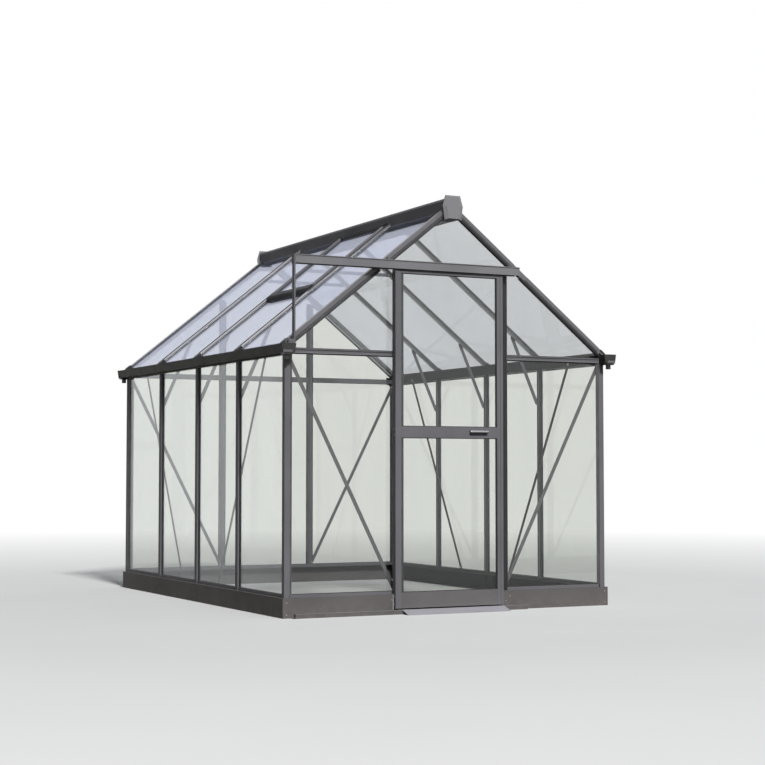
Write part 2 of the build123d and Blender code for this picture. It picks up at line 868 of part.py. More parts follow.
with BuildPart() as glass_front:
    with BuildSketch(across(pane_face)):
        post_edge = end_lines[0] - door_post_pane_edge
        side_top_z = top_rail_z - seat_gap
        rect(upper_left_x, pane_low_z, post_edge, pane_high_z)
        polygon(
            [
                (upper_left_x, upper_pane_z),
                (post_edge, upper_pane_z),
                (post_edge, side_top_z),
                (roof_x(side_top_z, rafter_pane_depth), side_top_z),
                (upper_left_x, roof_z(upper_left_x) - drop(rafter_pane_depth)),
            ]
        )
    extrude(amount=glass)
    mirror(about=Plane.YZ)
    with BuildSketch(across(pane_face)):
        top_low_z = top_rail_z + tube_wall + seat_gap
        top_high_z = ridge_bottom_z - seat_gap
        low_x = roof_x(top_low_z, rafter_pane_depth)
        high_x = roof_x(top_high_z, rafter_pane_depth)
        polygon(
            [
                (low_x, top_low_z),
                (width - low_x, top_low_z),
                (width - high_x, top_high_z),
                (high_x, top_high_z),
            ]
        )
    extrude(amount=glass)
glass_front.part.label = "glass_front"
export_step(glass_front.part, "parts/glass_front.step")

with BuildPart() as glass_back_plain:
    with BuildSketch(across(pane_face)):
        bar_left = end_lines[0] - pane_edge
        bar_right = end_lines[0] + pane_edge
        rect(upper_left_x, pane_low_z, bar_left, pane_high_z)
        polygon(
            [
                (upper_left_x, upper_pane_z),
                (bar_left, upper_pane_z),
                (bar_left, roof_z(bar_left) - drop(rafter_pane_depth)),
                (upper_left_x, roof_z(upper_left_x) - drop(rafter_pane_depth)),
            ]
        )
    extrude(amount=glass)
    mirror(about=Plane.YZ)
    with BuildSketch(across(pane_face)):
        rect(bar_right, pane_low_z, width - bar_right, pane_high_z)
        polygon(
            [
                (bar_right, upper_pane_z),
                (width - bar_right, upper_pane_z),
                (width - bar_right, roof_z(bar_right) - drop(rafter_pane_depth)),
                (width - high_x, top_high_z),
                (high_x, top_high_z),
                (bar_right, roof_z(bar_right) - drop(rafter_pane_depth)),
            ]
        )
    extrude(amount=glass)

with BuildPart() as glass_back:
    mirror(glass_back_plain.part, about=end_flip)
glass_back.part.label = "glass_back"
export_step(glass_back.part, "parts/glass_back.step")

# Glass of the roof; the vent takes the upper half of the second bay on the left


def roof_slab(x0, x1, y0, y1, top, bottom):
    """A sloping slab between two depths under the roof plane."""
    with BuildSketch(across(y1)) as outline:
        polygon(
            [
                (x0, roof_z(x0) - drop(top)),
                (x1, roof_z(x1) - drop(top)),
                (x1, roof_z(x1) - drop(bottom)),
                (x0, roof_z(x0) - drop(bottom)),
            ]
        )
    extrude(outline.sketch, amount=y1 - y0)


pane_top_x = ridge_cut_x
vent_bay = 1
fixed_pane_top_x = vent_foot_x - seat_gap

with BuildPart() as glass_roof_right:
    for near, distant in zip(side_edges, side_edges[1:]):
        roof_slab(glass_toe, pane_top_x, near + pane_edge, distant - pane_edge, glass_outer, glass_inner)
    mirror(about=Plane.YZ, mode=Mode.REPLACE)
glass_roof_right.part.label = "glass_roof_right"
export_step(glass_roof_right.part, "parts/glass_roof_right.step")

with BuildPart() as glass_roof_left:
    for number, (near, distant) in enumerate(zip(side_edges, side_edges[1:])):
        top_x = fixed_pane_top_x if number == vent_bay else pane_top_x
        roof_slab(glass_toe, top_x, near + pane_edge, distant - pane_edge, glass_outer, glass_inner)
glass_roof_left.part.label = "glass_roof_left"
export_step(glass_roof_left.part, "parts/glass_roof_left.step")

# Roof vent: a sill across the bay carries the foot of the fixed pane below and
# the vent's lower rail; the frame lies between the caps of the two bars

vent_y0 = side_lines[vent_bay - 1] + bar_side
vent_y1 = side_lines[vent_bay] - bar_side
vent_head_x = ridge_cut_x
rail_step = vent_rail_width * cos(slope)
vent_bottom = glass_inner
vent_top = glass_inner - vent_thickness

with BuildPart() as vent_rails:
    roof_slab(vent_foot_x, vent_foot_x + rail_step, vent_y0, vent_y1, vent_top, vent_bottom)
    roof_slab(vent_head_x - rail_step, vent_head_x, vent_y0, vent_y1, vent_top, vent_bottom)
vent_rails.part.label = "vent_rails"
export_step(vent_rails.part, "parts/vent_rails.step")

stile_low_x = vent_foot_x + rail_step + seat_gap
stile_high_x = vent_head_x - rail_step - seat_gap
slot_middle = (vent_top + vent_bottom) / 2
glass_slot = glass / 2 + seat_gap

with BuildPart() as vent_slot:
    roof_slab(
        stile_low_x - rail_step,
        stile_high_x + rail_step,
        vent_y0 + vent_stile_width - rebate_depth,
        vent_y1 - vent_stile_width + rebate_depth,
        slot_middle - glass_slot,
        slot_middle + glass_slot,
    )

with BuildPart() as vent_stiles:
    roof_slab(stile_low_x, stile_high_x, vent_y0, vent_y0 + vent_stile_width, vent_top, vent_bottom)
    roof_slab(stile_low_x, stile_high_x, vent_y1 - vent_stile_width, vent_y1, vent_top, vent_bottom)
    add(vent_slot.part, mode=Mode.SUBTRACT)
vent_stiles.part.label = "vent_stiles"
export_step(vent_stiles.part, "parts/vent_stiles.step")

with BuildPart() as vent_glass:
    inset = rebate_depth - glass_edge_gap
    roof_slab(
        stile_low_x,
        stile_high_x,
        vent_y0 + vent_stile_width - inset,
        vent_y1 - vent_stile_width + inset,
        slot_middle - glass / 2,
        slot_middle + glass / 2,
    )
vent_glass.part.label = "vent_glass"
export_step(vent_glass.part, "parts/vent_glass.step")

with BuildPart() as vent_sill:
    sill_x = vent_foot_x - vent_pane_lap
    roof_slab(
        sill_x,
        sill_x + vent_sill_width,
        side_lines[vent_bay - 1] + bar_seat_tip,
        side_lines[vent_bay] - bar_seat_tip,
        bar_seat_depth,
        frame_depth,
    )
vent_sill.part.label = "vent_sill"
export_step(vent_sill.part, "parts/vent_sill.step")

# Door header: a track closed at the front, with an inner shelf for the rollers

with BuildPart() as door_header:
    header_left = gutter_inner_wall + strut_width + 4 * seat_gap
    with BuildSketch(along(header_left)):
        rect(-header_face, header_bottom_z, header_wall - header_face, header_top_z)
        rect(-header_face, header_top_z - header_wall, header_back, header_top_z)
        rect(header_back - header_wall, header_bottom_z, header_back, header_top_z)
        rect(-shelf_reach, shelf_z, header_back, shelf_z + header_wall)
        rect(-shelf_reach, shelf_z, header_wall - shelf_reach, shelf_z + shelf_lip)
        rect(-header_face, header_bottom_z, 2 * header_wall - header_face, header_bottom_z + header_wall)
    extrude(amount=header_right - header_left)
door_header.part.label = "door_header"
export_step(door_header.part, "parts/door_header.step")

# Strut under the free end of the header, standing in the gutter

with BuildPart() as header_strut:
    strut_left = gutter_inner_wall + 2 * seat_gap
    with BuildSketch(plan(eave_z + gutter_floor + seat_gap)):
        rect(strut_left, -strut_front, strut_left + strut_width, strut_depth - strut_front)
    extrude(amount=header_top_z - eave_z - gutter_floor - seat_gap)
    with BuildSketch(across(strut_foot_thickness - strut_front)):
        bracket_z = gutter_lip_z + seat_gap
        bracket_left = strut_left - strut_foot_length
        polygon(
            [
                (bracket_left, bracket_z),
                (strut_left, bracket_z),
                (strut_left, bracket_z + strut_foot_height),
                (bracket_left + strut_foot_height / 2, bracket_z + strut_foot_height),
                (bracket_left, bracket_z + strut_foot_height / 2),
            ]
        )
        with Locations((bracket_left + strut_foot_height / 2, bracket_z + strut_foot_height / 2)):
            Circle(strut_bolt_hole / 2, mode=Mode.SUBTRACT)
    extrude(amount=strut_foot_thickness)
header_strut.part.label = "header_strut"
export_step(header_strut.part, "parts/header_strut.step")

# Bottom track in front of the base, open at the top and the ends

with BuildPart() as bottom_track:
    with BuildSketch(along(track_left)):
        rect(-track_depth - seat_gap, 0, -seat_gap, track_height)
        rect(track_wall - track_depth - seat_gap, track_wall, -seat_gap - track_wall, track_height, Mode.SUBTRACT)
    extrude(amount=track_right - track_left)
bottom_track.part.label = "bottom_track"
export_step(bottom_track.part, "parts/bottom_track.step")

# Entrance ramp: bent sheet with a back leg against the track

with BuildPart() as entrance_ramp:
    with BuildSketch(along(ramp_left)):
        back = -track_depth - 2 * seat_gap
        polygon(
            [
                (-ramp_reach, 0),
                (back, track_height),
                (back, 0),
                (back - ramp_sheet, 0),
                (back - ramp_sheet, track_height - 2 * ramp_sheet),
                (-ramp_reach + 3 * ramp_sheet, 0),
            ]
        )
    extrude(amount=ramp_width)
entrance_ramp.part.label = "entrance_ramp"
export_step(entrance_ramp.part, "parts/entrance_ramp.step")

# Door leaf

door_right = door_left + door_width
door_back = door_thickness - door_face
leaf_middle = -door_face + door_thickness / 2
groove = glass / 2 + seat_gap
pane_bite = rebate_depth * 2 / 3

with BuildPart() as door_stiles:
    leaf_height = door_top_z - door_bottom_z
    inner_left = door_left + door_stile_width
    inner_right = door_right - door_stile_width
    core_edge = rebate_depth + tube_wall
    with BuildSketch(plan(door_bottom_z)):
        rect(door_left, -door_face, inner_left, door_back)
        rect(
            door_left + tube_wall,
            tube_wall - door_face,
            inner_left - core_edge,
            door_back - tube_wall,
            Mode.SUBTRACT,
        )
        rect(inner_left - rebate_depth, leaf_middle - groove, inner_left, leaf_middle + groove, Mode.SUBTRACT)
        rect(inner_right, -door_face, door_right, door_back)
        rect(
            inner_right + core_edge,
            tube_wall - door_face,
            door_right - tube_wall,
            door_back - tube_wall,
            Mode.SUBTRACT,
        )
        rect(inner_right, leaf_middle - groove, inner_right + rebate_depth, leaf_middle + groove, Mode.SUBTRACT)
    extrude(amount=leaf_height)
door_stiles.part.label = "door_stiles"
export_step(door_stiles.part, "parts/door_stiles.step")


def door_rail(z0, z1, slot_low, slot_high):
    """A hollow rail between the stiles, with a glass slot where a pane meets it."""
    with BuildSketch(along(inner_left + seat_gap)) as section:
        rect(-door_face, z0, door_back, z1)
        low = z0 + (core_edge if slot_low else tube_wall)
        high = z1 - (core_edge if slot_high else tube_wall)
        rect(tube_wall - door_face, low, door_back - tube_wall, high, Mode.SUBTRACT)
        if slot_low:
            rect(leaf_middle - groove, z0, leaf_middle + groove, z0 + rebate_depth, Mode.SUBTRACT)
        if slot_high:
            rect(leaf_middle - groove, z1 - rebate_depth, leaf_middle + groove, z1, Mode.SUBTRACT)
    extrude(section.sketch, amount=inner_right - inner_left - 2 * seat_gap)


with BuildPart() as door_rails:
    door_rail(door_top_z - door_top_rail, door_top_z, True, False)
    door_rail(door_mid_rail_z, door_mid_rail_z + door_mid_rail, True, True)
door_rails.part.label = "door_rails"
export_step(door_rails.part, "parts/door_rails.step")

with BuildPart() as door_kick_panel:
    door_rail(door_bottom_z, door_bottom_z + door_kick, False, True)
door_kick_panel.part.label = "door_kick_panel"
export_step(door_kick_panel.part, "parts/door_kick_panel.step")

with BuildPart() as door_glass:
    with BuildSketch(across(leaf_middle + glass / 2)):
        pane_x0 = inner_left - pane_bite
        pane_x1 = inner_right + pane_bite
        rect(pane_x0, door_bottom_z + door_kick - pane_bite, pane_x1, door_mid_rail_z + pane_bite)
        rect(
            pane_x0,
            door_mid_rail_z + door_mid_rail - pane_bite,
            pane_x1,
            door_top_z - door_top_rail + pane_bite,
        )
    extrude(amount=glass)
door_glass.part.label = "door_glass"
export_step(door_glass.part, "parts/door_glass.step")

# Door handle: a bow bar on two feet

with BuildPart() as door_handle:
    handle_right = inner_right - handle_from_stile
    handle_left = handle_right - handle_length
    foot_front = -door_face - seat_gap
    bar_y = foot_front - handle_standoff
    with BuildSketch(across(bar_y + handle_diameter / 4)):
        with Locations(((handle_left + handle_right) / 2, handle_z)):
            SlotOverall(handle_length, handle_diameter)
    extrude(amount=handle_diameter / 2)
    with BuildSketch(across(foot_front)):
        with Locations(
            (handle_left + handle_diameter, handle_z),
            (handle_right - handle_diameter, handle_z),
        ):
            Circle(handle_foot / 2)
    extrude(amount=handle_standoff)
    fillet(door_handle.faces().sort_by(Axis.Y)[0].edges(), handle_round)
door_handle.part.label = "door_handle"
export_step(door_handle.part, "parts/door_handle.step")

# Hangers: a plate on the top rail, an axle and a grooved roller on the shelf lip

with BuildPart() as door_hangers:
    lip_y = -shelf_reach + header_wall / 2
    lip_top_z = shelf_z + shelf_lip
    axle_z = lip_top_z + roller_groove_diameter / 2 + seat_gap
    plate_back = hanger_thickness - hanger_face
    for centre in (door_left + hanger_inset, door_right - hanger_inset):
        with BuildSketch(across(plate_back)):
            plate_half = hanger_width / 2
            plate_top = axle_z + axle_diameter
            rect(centre - plate_half, door_top_z + seat_gap, centre + plate_half, plate_top)
        extrude(amount=hanger_thickness)
        with BuildSketch(across(lip_y + roller_width / 2)):
            with Locations((centre, axle_z)):
                Circle(axle_diameter / 2)
        extrude(amount=lip_y + roller_width / 2 - plate_back)
        with BuildSketch(across(lip_y + roller_width / 2)):
            with Locations((centre, axle_z)):
                Circle(roller_diameter / 2)
        extrude(amount=roller_width)
        with BuildSketch(across(lip_y + roller_groove_width / 2)):
            with Locations((centre, axle_z)):
                Circle(roller_diameter / 2)
                Circle(roller_groove_diameter / 2, mode=Mode.SUBTRACT)
        extrude(amount=roller_groove_width, mode=Mode.SUBTRACT)
door_hangers.part.label = "door_hangers"
export_step(door_hangers.part, "parts/door_hangers.step")

# Guides under the leaf, running in the bottom track

with BuildPart() as door_guides:
    guide_y = leaf_middle - guide_thickness / 2
    guide_low_z = track_wall + guide_floor_gap
    with BuildSketch(plan(guide_low_z)):
        rect(door_left + guide_inset, guide_y, door_left + guide_inset + guide_length, guide_y + guide_thickness)
        rect(door_right - guide_inset - guide_length, guide_y, door_right - guide_inset, guide_y + guide_thickness)
    extrude(amount=door_bottom_z - seat_gap - guide_low_z)
    fillet(door_guides.edges().filter_by(Axis.Z), guide_thickness / 4)
door_guides.part.label = "door_guides"
export_step(door_guides.part, "parts/door_guides.step")
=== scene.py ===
from math import cos, pi, radians, sin, tan

import bmesh
import bpy
from mathutils import Matrix, Vector


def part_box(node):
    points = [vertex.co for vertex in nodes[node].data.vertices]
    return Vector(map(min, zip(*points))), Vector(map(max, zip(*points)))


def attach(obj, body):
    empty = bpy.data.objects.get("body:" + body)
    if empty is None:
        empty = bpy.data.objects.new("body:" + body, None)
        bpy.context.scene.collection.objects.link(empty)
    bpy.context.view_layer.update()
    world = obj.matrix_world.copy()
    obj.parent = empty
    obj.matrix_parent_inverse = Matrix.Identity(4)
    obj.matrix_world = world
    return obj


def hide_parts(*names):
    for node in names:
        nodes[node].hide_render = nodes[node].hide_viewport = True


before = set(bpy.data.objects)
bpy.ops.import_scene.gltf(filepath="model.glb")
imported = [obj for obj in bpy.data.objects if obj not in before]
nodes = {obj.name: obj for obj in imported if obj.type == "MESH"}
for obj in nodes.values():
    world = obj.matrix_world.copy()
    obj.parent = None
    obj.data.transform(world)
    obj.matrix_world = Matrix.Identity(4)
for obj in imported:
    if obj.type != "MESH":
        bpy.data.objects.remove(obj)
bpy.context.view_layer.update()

# Everything is in metres. The photograph's camera is placed from the front
# left corner of the base, which stands on the ground.
base_corner = Vector((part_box("base_left")[0].x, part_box("base_front")[0].y, 0))
camera_from_corner = Vector((-3.3419, -7.7885, 0.7344))
camera_yaw = 26.57
camera_pitch = 2.97
camera_lens = 79.85
sensor_width = 36

# Colours, linear
frame_grey = (0.150, 0.147, 0.158)
base_grey = (0.132, 0.124, 0.122)
header_grey = (0.205, 0.202, 0.214)
cap_grey = (0.262, 0.260, 0.275)
panel_grey = (0.140, 0.133, 0.136)
# Painted shade: the gutters take the frame's coat, darkened for the shade on their outer faces
gutter_shade_grey = (0.034, 0.036, 0.031)
# Painted shade: the ridge beam takes the frame's coat, darkened for the shade on its side
ridge_shade_grey = (0.112, 0.112, 0.124)
# Painted shade: the roof vent takes the frame's coat, darkened to near black for the shade on its rails
vent_shade_dark = (0.012, 0.013, 0.017)
plastic_black = (0.022, 0.022, 0.024)
collar_grey = (0.026, 0.026, 0.025)
strip_grey = (0.084, 0.083, 0.087)
rubber_black = (0.016, 0.016, 0.017)
ramp_grey = (0.355, 0.345, 0.375)
handle_silver = (0.430, 0.430, 0.445)
zinc_bright = (0.430, 0.400, 0.330)
roller_white = (0.560, 0.555, 0.540)
dust_pale = (0.330, 0.300, 0.265)
glass_tint = (0.905, 0.912, 0.897)
roof_glass_tint = (0.885, 0.893, 0.915)
glass_mirror = (0.93, 0.96, 0.97)
roof_mirror = (0.68, 0.71, 0.84)
floor_pale = (0.740, 0.740, 0.735)
floor_bounce = (0.125, 0.108, 0.092)

# How much a glass face mirrors straight on, and how that rises towards grazing angles
straight_on_mirror = 0.04
schlick_power = 5

# Texture sizes of the powder coat, in repeats a metre
cloud_scale = 3.5
grain_scale = 420
dust_scale = 26
sheen_scale = 9
peel_scale = 650

# The key lamp's place and softness in degrees, and the soft light of the surroundings
key_azimuth = -6
key_elevation = 40
key_strength = 3.1
key_softness = 8
soft_side = Vector((0.72, -0.60, 0.35)).normalized()
soft_colour = (0.94, 0.965, 1.0)
soft_dim = 0.025
soft_bright = 0.55

# Where the floor fades to white, in metres from the middle
fade_start = 3.0
fade_end = 11.0

# How many panes a ray may pass
pane_bounces = 24

# The gloss of the roof bars and the back rafters
gloss_index = 4.0
gloss_roughness = 0.12

# Places read from the frame
middle_y = (base_corner.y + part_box("base_back")[1].y) / 2
wall_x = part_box("wall_bars_left")[0].x
wall_y = base_corner.y + wall_x - base_corner.x
far_wall_y = 2 * middle_y - wall_y
glass_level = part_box("glass_left")[0].x - wall_x
sill_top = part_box("sill_rails_sides")[1].z
eave_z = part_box("wall_bars_left")[1].z
base_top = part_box("base_left")[1].z
rail_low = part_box("gable_rails_back")[0].z
rail_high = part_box("gable_rails_back")[1].z
roof_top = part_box("roof_bars_left")[1]
roof_toe_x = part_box("roof_bars_left")[0].x
header_low, header_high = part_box("door_header")
leaf_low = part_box("door_stiles")[0]
leaf_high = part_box("door_stiles")[1]

# Sizes that the sections share
bar_half = 0.018
post_leg = 0.030
rafter_face = 0.030
door_post_half = 0.026
strap_thickness = 0.003
clearance = 0.001
hair = 0.0001
roof_pitch = radians(38.66)
up_slope = Vector((cos(roof_pitch), 0, sin(roof_pitch)))
off_slope = Vector((-sin(roof_pitch), 0, cos(roof_pitch)))

right = Vector((1, 0, 0))
back = Vector((0, 1, 0))
up = Vector((0, 0, 1))


def spread(low, high, count):
    """Even places between two ends, both included."""
    return [low + (high - low) * n / (count - 1) for n in range(count)]


bar_low, bar_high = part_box("wall_bars_left")
side_lines = spread(bar_low.y + bar_half, bar_high.y - bar_half, 3)
back_low, back_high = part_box("back_posts")
end_lines = spread(back_low.x + bar_half, back_high.x - bar_half, 2)


def roof_height(x):
    """Height of the left roof plane above a place across the house."""
    return roof_top.z - (roof_top.x - x) * tan(roof_pitch)


def on_slope(x, y, depth=0.0):
    """A point of the left slope, some depth under the roof plane."""
    return Vector((x, y, roof_height(x) - depth / cos(roof_pitch)))


# Node helpers

def new_material(name):
    """An empty node material with its output, and the object's own coordinates."""
    material = bpy.data.materials.new(name)
    material.use_nodes = True
    tree = material.node_tree
    tree.nodes.clear()
    output = tree.nodes.new("ShaderNodeOutputMaterial")
    place = tree.nodes.new("ShaderNodeTexCoord").outputs["Object"]
    return material, tree, output, place


def stretched(tree, place, scale):
    mapping = tree.nodes.new("ShaderNodeMapping")
    mapping.inputs["Scale"].default_value = scale
    tree.links.new(place, mapping.inputs["Vector"])
    return mapping.outputs["Vector"]


def noise(tree, place, scale, detail=3.0, roughness=0.5):
    texture = tree.nodes.new("ShaderNodeTexNoise")
    texture.inputs["Scale"].default_value = scale
    texture.inputs["Detail"].default_value = detail
    texture.inputs["Roughness"].default_value = roughness
    tree.links.new(place, texture.inputs["Vector"])
    return texture.outputs["Fac"]


def remap(tree, source, low_in, high_in, low_out, high_out):
    mapped = tree.nodes.new("ShaderNodeMapRange")
    mapped.inputs["From Min"].default_value = low_in
    mapped.inputs["From Max"].default_value = high_in
    mapped.inputs["To Min"].default_value = low_out
    mapped.inputs["To Max"].default_value = high_out
    tree.links.new(source, mapped.inputs["Value"])
    return mapped.outputs["Result"]


def product(tree, first, second):
    math = tree.nodes.new("ShaderNodeMath")
    math.operation = "MULTIPLY"
    tree.links.new(first, math.inputs[0])
    tree.links.new(second, math.inputs[1])
    return math.outputs["Value"]


def colour_mix(tree, factor, first, second):
    """A mix of two colours, each a tuple or a socket."""
    mix = tree.nodes.new("ShaderNodeMix")
    mix.data_type = "RGBA"
    tree.links.new(factor, mix.inputs["Factor"])
    for value, socket in ((first, mix.inputs[6]), (second, mix.inputs[7])):
        if isinstance(value, tuple):
            socket.default_value = (*value, 1)
        else:
            tree.links.new(value, socket)
    return mix.outputs[2]


def shaded(colour, factor):
    return tuple(channel * factor for channel in colour)


def bump(tree, height, strength, distance):
    node = tree.nodes.new("ShaderNodeBump")
    node.inputs["Strength"].default_value = strength
    node.inputs["Distance"].default_value = distance
    tree.links.new(height, node.inputs["Height"])
    return node.outputs["Normal"]


def height_above_ground(tree, place):
    split = tree.nodes.new("ShaderNodeSeparateXYZ")
    tree.links.new(place, split.inputs["Vector"])
    return split.outputs["Z"]


# Materials

def powder_coat(name, colour, dust_height=0.05, dust=0.35, roughness=0.45, shine=0.05, gloss=0.0):
    """Baked powder coat on aluminium: fine orange peel, a faint cloudiness, and dust near the ground."""
    material, tree, output, place = new_material(name)
    surface = tree.nodes.new("ShaderNodeBsdfPrincipled")
    clouds = remap(tree, noise(tree, place, cloud_scale), 0.35, 0.65, 0, 1)
    grain = remap(tree, noise(tree, place, grain_scale, 2.0), 0.3, 0.7, 0, 1)
    cloudy = colour_mix(tree, clouds, shaded(colour, 0.93), shaded(colour, 1.07))
    grained = colour_mix(tree, product(tree, grain, clouds), cloudy, shaded(colour, 1.12))
    low = remap(tree, height_above_ground(tree, place), 0, dust_height, dust, 0)
    patches = remap(tree, noise(tree, place, dust_scale, 5.0, 0.65), 0.35, 0.75, 0, 1)
    dusty = colour_mix(tree, product(tree, low, patches), grained, dust_pale)
    tree.links.new(dusty, surface.inputs["Base Color"])
    tree.links.new(
        remap(tree, noise(tree, place, sheen_scale, 4.0), 0.3, 0.7, roughness - 0.05, roughness + 0.07),
        surface.inputs["Roughness"],
    )
    surface.inputs["Specular IOR Level"].default_value = shine
    surface.inputs["Coat Weight"].default_value = gloss
    surface.inputs["Coat IOR"].default_value = gloss_index
    surface.inputs["Coat Roughness"].default_value = gloss_roughness
    tree.links.new(bump(tree, noise(tree, place, peel_scale, 2.0), 0.1, 0.0005), surface.inputs["Normal"])
    tree.links.new(surface.outputs["BSDF"], output.inputs["Surface"])
    return material


def brushed_metal(name, colour, roughness, along, metallic=0.85):
    """Bare or anodised metal with fine lines along one axis."""
    material, tree, output, place = new_material(name)
    surface = tree.nodes.new("ShaderNodeBsdfPrincipled")
    lines = noise(tree, stretched(tree, place, along), 1.0, 4.0, 0.6)
    tone = remap(tree, lines, 0.3, 0.7, 0, 1)
    tree.links.new(
        colour_mix(tree, tone, shaded(colour, 0.86), shaded(colour, 1.1)), surface.inputs["Base Color"]
    )
    tree.links.new(
        remap(tree, lines, 0.3, 0.7, roughness - 0.06, roughness + 0.08), surface.inputs["Roughness"]
    )
    surface.inputs["Metallic"].default_value = metallic
    tree.links.new(bump(tree, lines, 0.15, 0.0004), surface.inputs["Normal"])
    tree.links.new(surface.outputs["BSDF"], output.inputs["Surface"])
    return material


def moulded_plastic(name, colour, roughness, grain_size=900):
    """Moulded plastic or rubber with a fine satin grain."""
    material, tree, output, place = new_material(name)
    surface = tree.nodes.new("ShaderNodeBsdfPrincipled")
    tone = remap(tree, noise(tree, place, 14, 3.0), 0.35, 0.65, 0, 1)
    tree.links.new(
        colour_mix(tree, tone, shaded(colour, 0.85), shaded(colour, 1.2)), surface.inputs["Base Color"]
    )
    tree.links.new(
        remap(tree, noise(tree, place, 120, 3.0), 0.3, 0.7, roughness - 0.06, roughness + 0.08),
        surface.inputs["Roughness"],
    )
    surface.inputs["Specular IOR Level"].default_value = 0.35
    tree.links.new(bump(tree, noise(tree, place, grain_size, 2.0), 0.2, 0.0004), surface.inputs["Normal"])
    tree.links.new(surface.outputs["BSDF"], output.inputs["Surface"])
    return material


def brush_pile(name, colour):
    """Short upright pile of a draught strip, its threads across the strip."""
    material, tree, output, place = new_material(name)
    surface = tree.nodes.new("ShaderNodeBsdfPrincipled")
    threads = noise(tree, stretched(tree, place, (900, 60, 900)), 1.0, 2.0, 0.6)
    tone = remap(tree, threads, 0.35, 0.65, 0, 1)
    tree.links.new(
        colour_mix(tree, tone, shaded(colour, 0.6), shaded(colour, 1.9)), surface.inputs["Base Color"]
    )
    surface.inputs["Roughness"].default_value = 0.85
    surface.inputs["Sheen Weight"].default_value = 0.3
    tree.links.new(bump(tree, threads, 0.6, 0.0008), surface.inputs["Normal"])
    tree.links.new(surface.outputs["BSDF"], output.inputs["Surface"])
    return material


def pane_glass(name, tint, mirror_colour):
    """Clear float glass: a faint tint straight through, and each face mirrors by its angle."""
    material, tree, output, place = new_material(name)
    through = tree.nodes.new("ShaderNodeBsdfTransparent")
    streaks = remap(tree, noise(tree, stretched(tree, place, (6, 6, 0.9)), 1.0, 5.0, 0.6), 0.35, 0.7, 0, 1)
    tree.links.new(colour_mix(tree, streaks, tint, shaded(tint, 0.985)), through.inputs["Color"])
    mirror = tree.nodes.new("ShaderNodeBsdfGlossy")
    mirror.inputs["Color"].default_value = (*mirror_colour, 1)
    mirror.inputs["Roughness"].default_value = 0.01
    facing = tree.nodes.new("ShaderNodeLayerWeight")
    facing.inputs["Blend"].default_value = 0.5
    grazing = tree.nodes.new("ShaderNodeMath")
    grazing.operation = "POWER"
    grazing.inputs[1].default_value = schlick_power
    tree.links.new(facing.outputs["Facing"], grazing.inputs[0])
    faces = tree.nodes.new("ShaderNodeMixShader")
    tree.links.new(
        remap(tree, grazing.outputs["Value"], 0, 1, straight_on_mirror, 1), faces.inputs["Fac"]
    )
    tree.links.new(through.outputs["BSDF"], faces.inputs[1])
    tree.links.new(mirror.outputs["BSDF"], faces.inputs[2])
    tree.links.new(faces.outputs["Shader"], output.inputs["Surface"])
    return material


def paint(node, material):
    slots = nodes[node].material_slots
    if not slots:
        nodes[node].data.materials.append(material)
    for slot in slots:
        slot.material = material


frame_coat = powder_coat("frame_coat", frame_grey)
roof_bar_coat = powder_coat("roof_bar_coat", frame_grey, roughness=0.2, shine=0.6, gloss=1.0)
rafter_coat = powder_coat("rafter_coat", frame_grey, roughness=0.3, shine=0.3)
base_coat = powder_coat("base_coat", base_grey, 0.09, 0.25, 0.5)
header_coat = powder_coat("header_coat", header_grey)
cap_coat = powder_coat("cap_coat", cap_grey)
panel_coat = powder_coat("panel_coat", panel_grey)
# Painted shade on the gutters, in their darkened coat
gutter_shaded_coat = powder_coat("gutter_shaded_coat", gutter_shade_grey)
# Painted shade on the ridge beam, in its darkened coat
ridge_shaded_coat = powder_coat("ridge_shaded_coat", ridge_shade_grey)
# Painted shade on the vent's rails, sill and trim, in their near-black coat
vent_shaded_coat = powder_coat("vent_shaded_coat", vent_shade_dark)
black_plastic = moulded_plastic("black_plastic", plastic_black, 0.45)
grey_plastic = moulded_plastic("grey_plastic", collar_grey, 0.4)
strip_plastic = moulded_plastic("strip_plastic", strip_grey, 0.5)
rubber = moulded_plastic("rubber", rubber_black, 0.5, 1600)
pile = brush_pile("pile", rubber_black)
roller_plastic = moulded_plastic("roller_plastic", roller_white, 0.4)
ramp_metal = brushed_metal("ramp_metal", ramp_grey, 0.5, (6, 260, 260), 0.1)
handle_metal = brushed_metal("handle_metal", handle_silver, 0.36, (20, 500, 500))
zinc = brushed_metal("zinc", zinc_bright, 0.32, (700, 700, 90))
wall_glass = pane_glass("wall_glass", glass_tint, glass_mirror)
roof_glass = pane_glass("roof_glass", roof_glass_tint, roof_mirror)

special = {
    "base_left": base_coat,
    "base_right": base_coat,
    "base_back": base_coat,
    "base_front": base_coat,
    "base_splices": base_coat,
    "bottom_track": base_coat,
    "entrance_ramp": ramp_metal,
    "gutter_left": gutter_shaded_coat,
    "gutter_right": gutter_shaded_coat,
    "gutter_ends": grey_plastic,
    "roof_bars_left": roof_bar_coat,
    "roof_bars_right": roof_bar_coat,
    "rafters_front": rafter_coat,
    "rafters_back": roof_bar_coat,
    "vent_rails": vent_shaded_coat,
    "vent_sill": vent_shaded_coat,
    "ridge_beam": ridge_shaded_coat,
    "ridge_caps": cap_coat,
    "door_header": header_coat,
    "door_kick_panel": panel_coat,
    "door_guides": black_plastic,
    "door_hangers": roller_plastic,
    "door_handle": handle_metal,
    "glass_roof_left": roof_glass,
    "glass_roof_right": roof_glass,
    "vent_glass": roof_glass,
}
for node in nodes:
    if node in special:
        paint(node, special[node])
    elif "glass" in node:
        paint(node, wall_glass)
    else:
        paint(node, frame_coat)


# Mesh helpers

def bridge(shape, lower, upper):
    """Faces between two rings of as many points."""
    for n in range(len(lower)):
        m = (n + 1) % len(lower)
        shape.faces.new((lower[n], lower[m], upper[m], upper[n]))


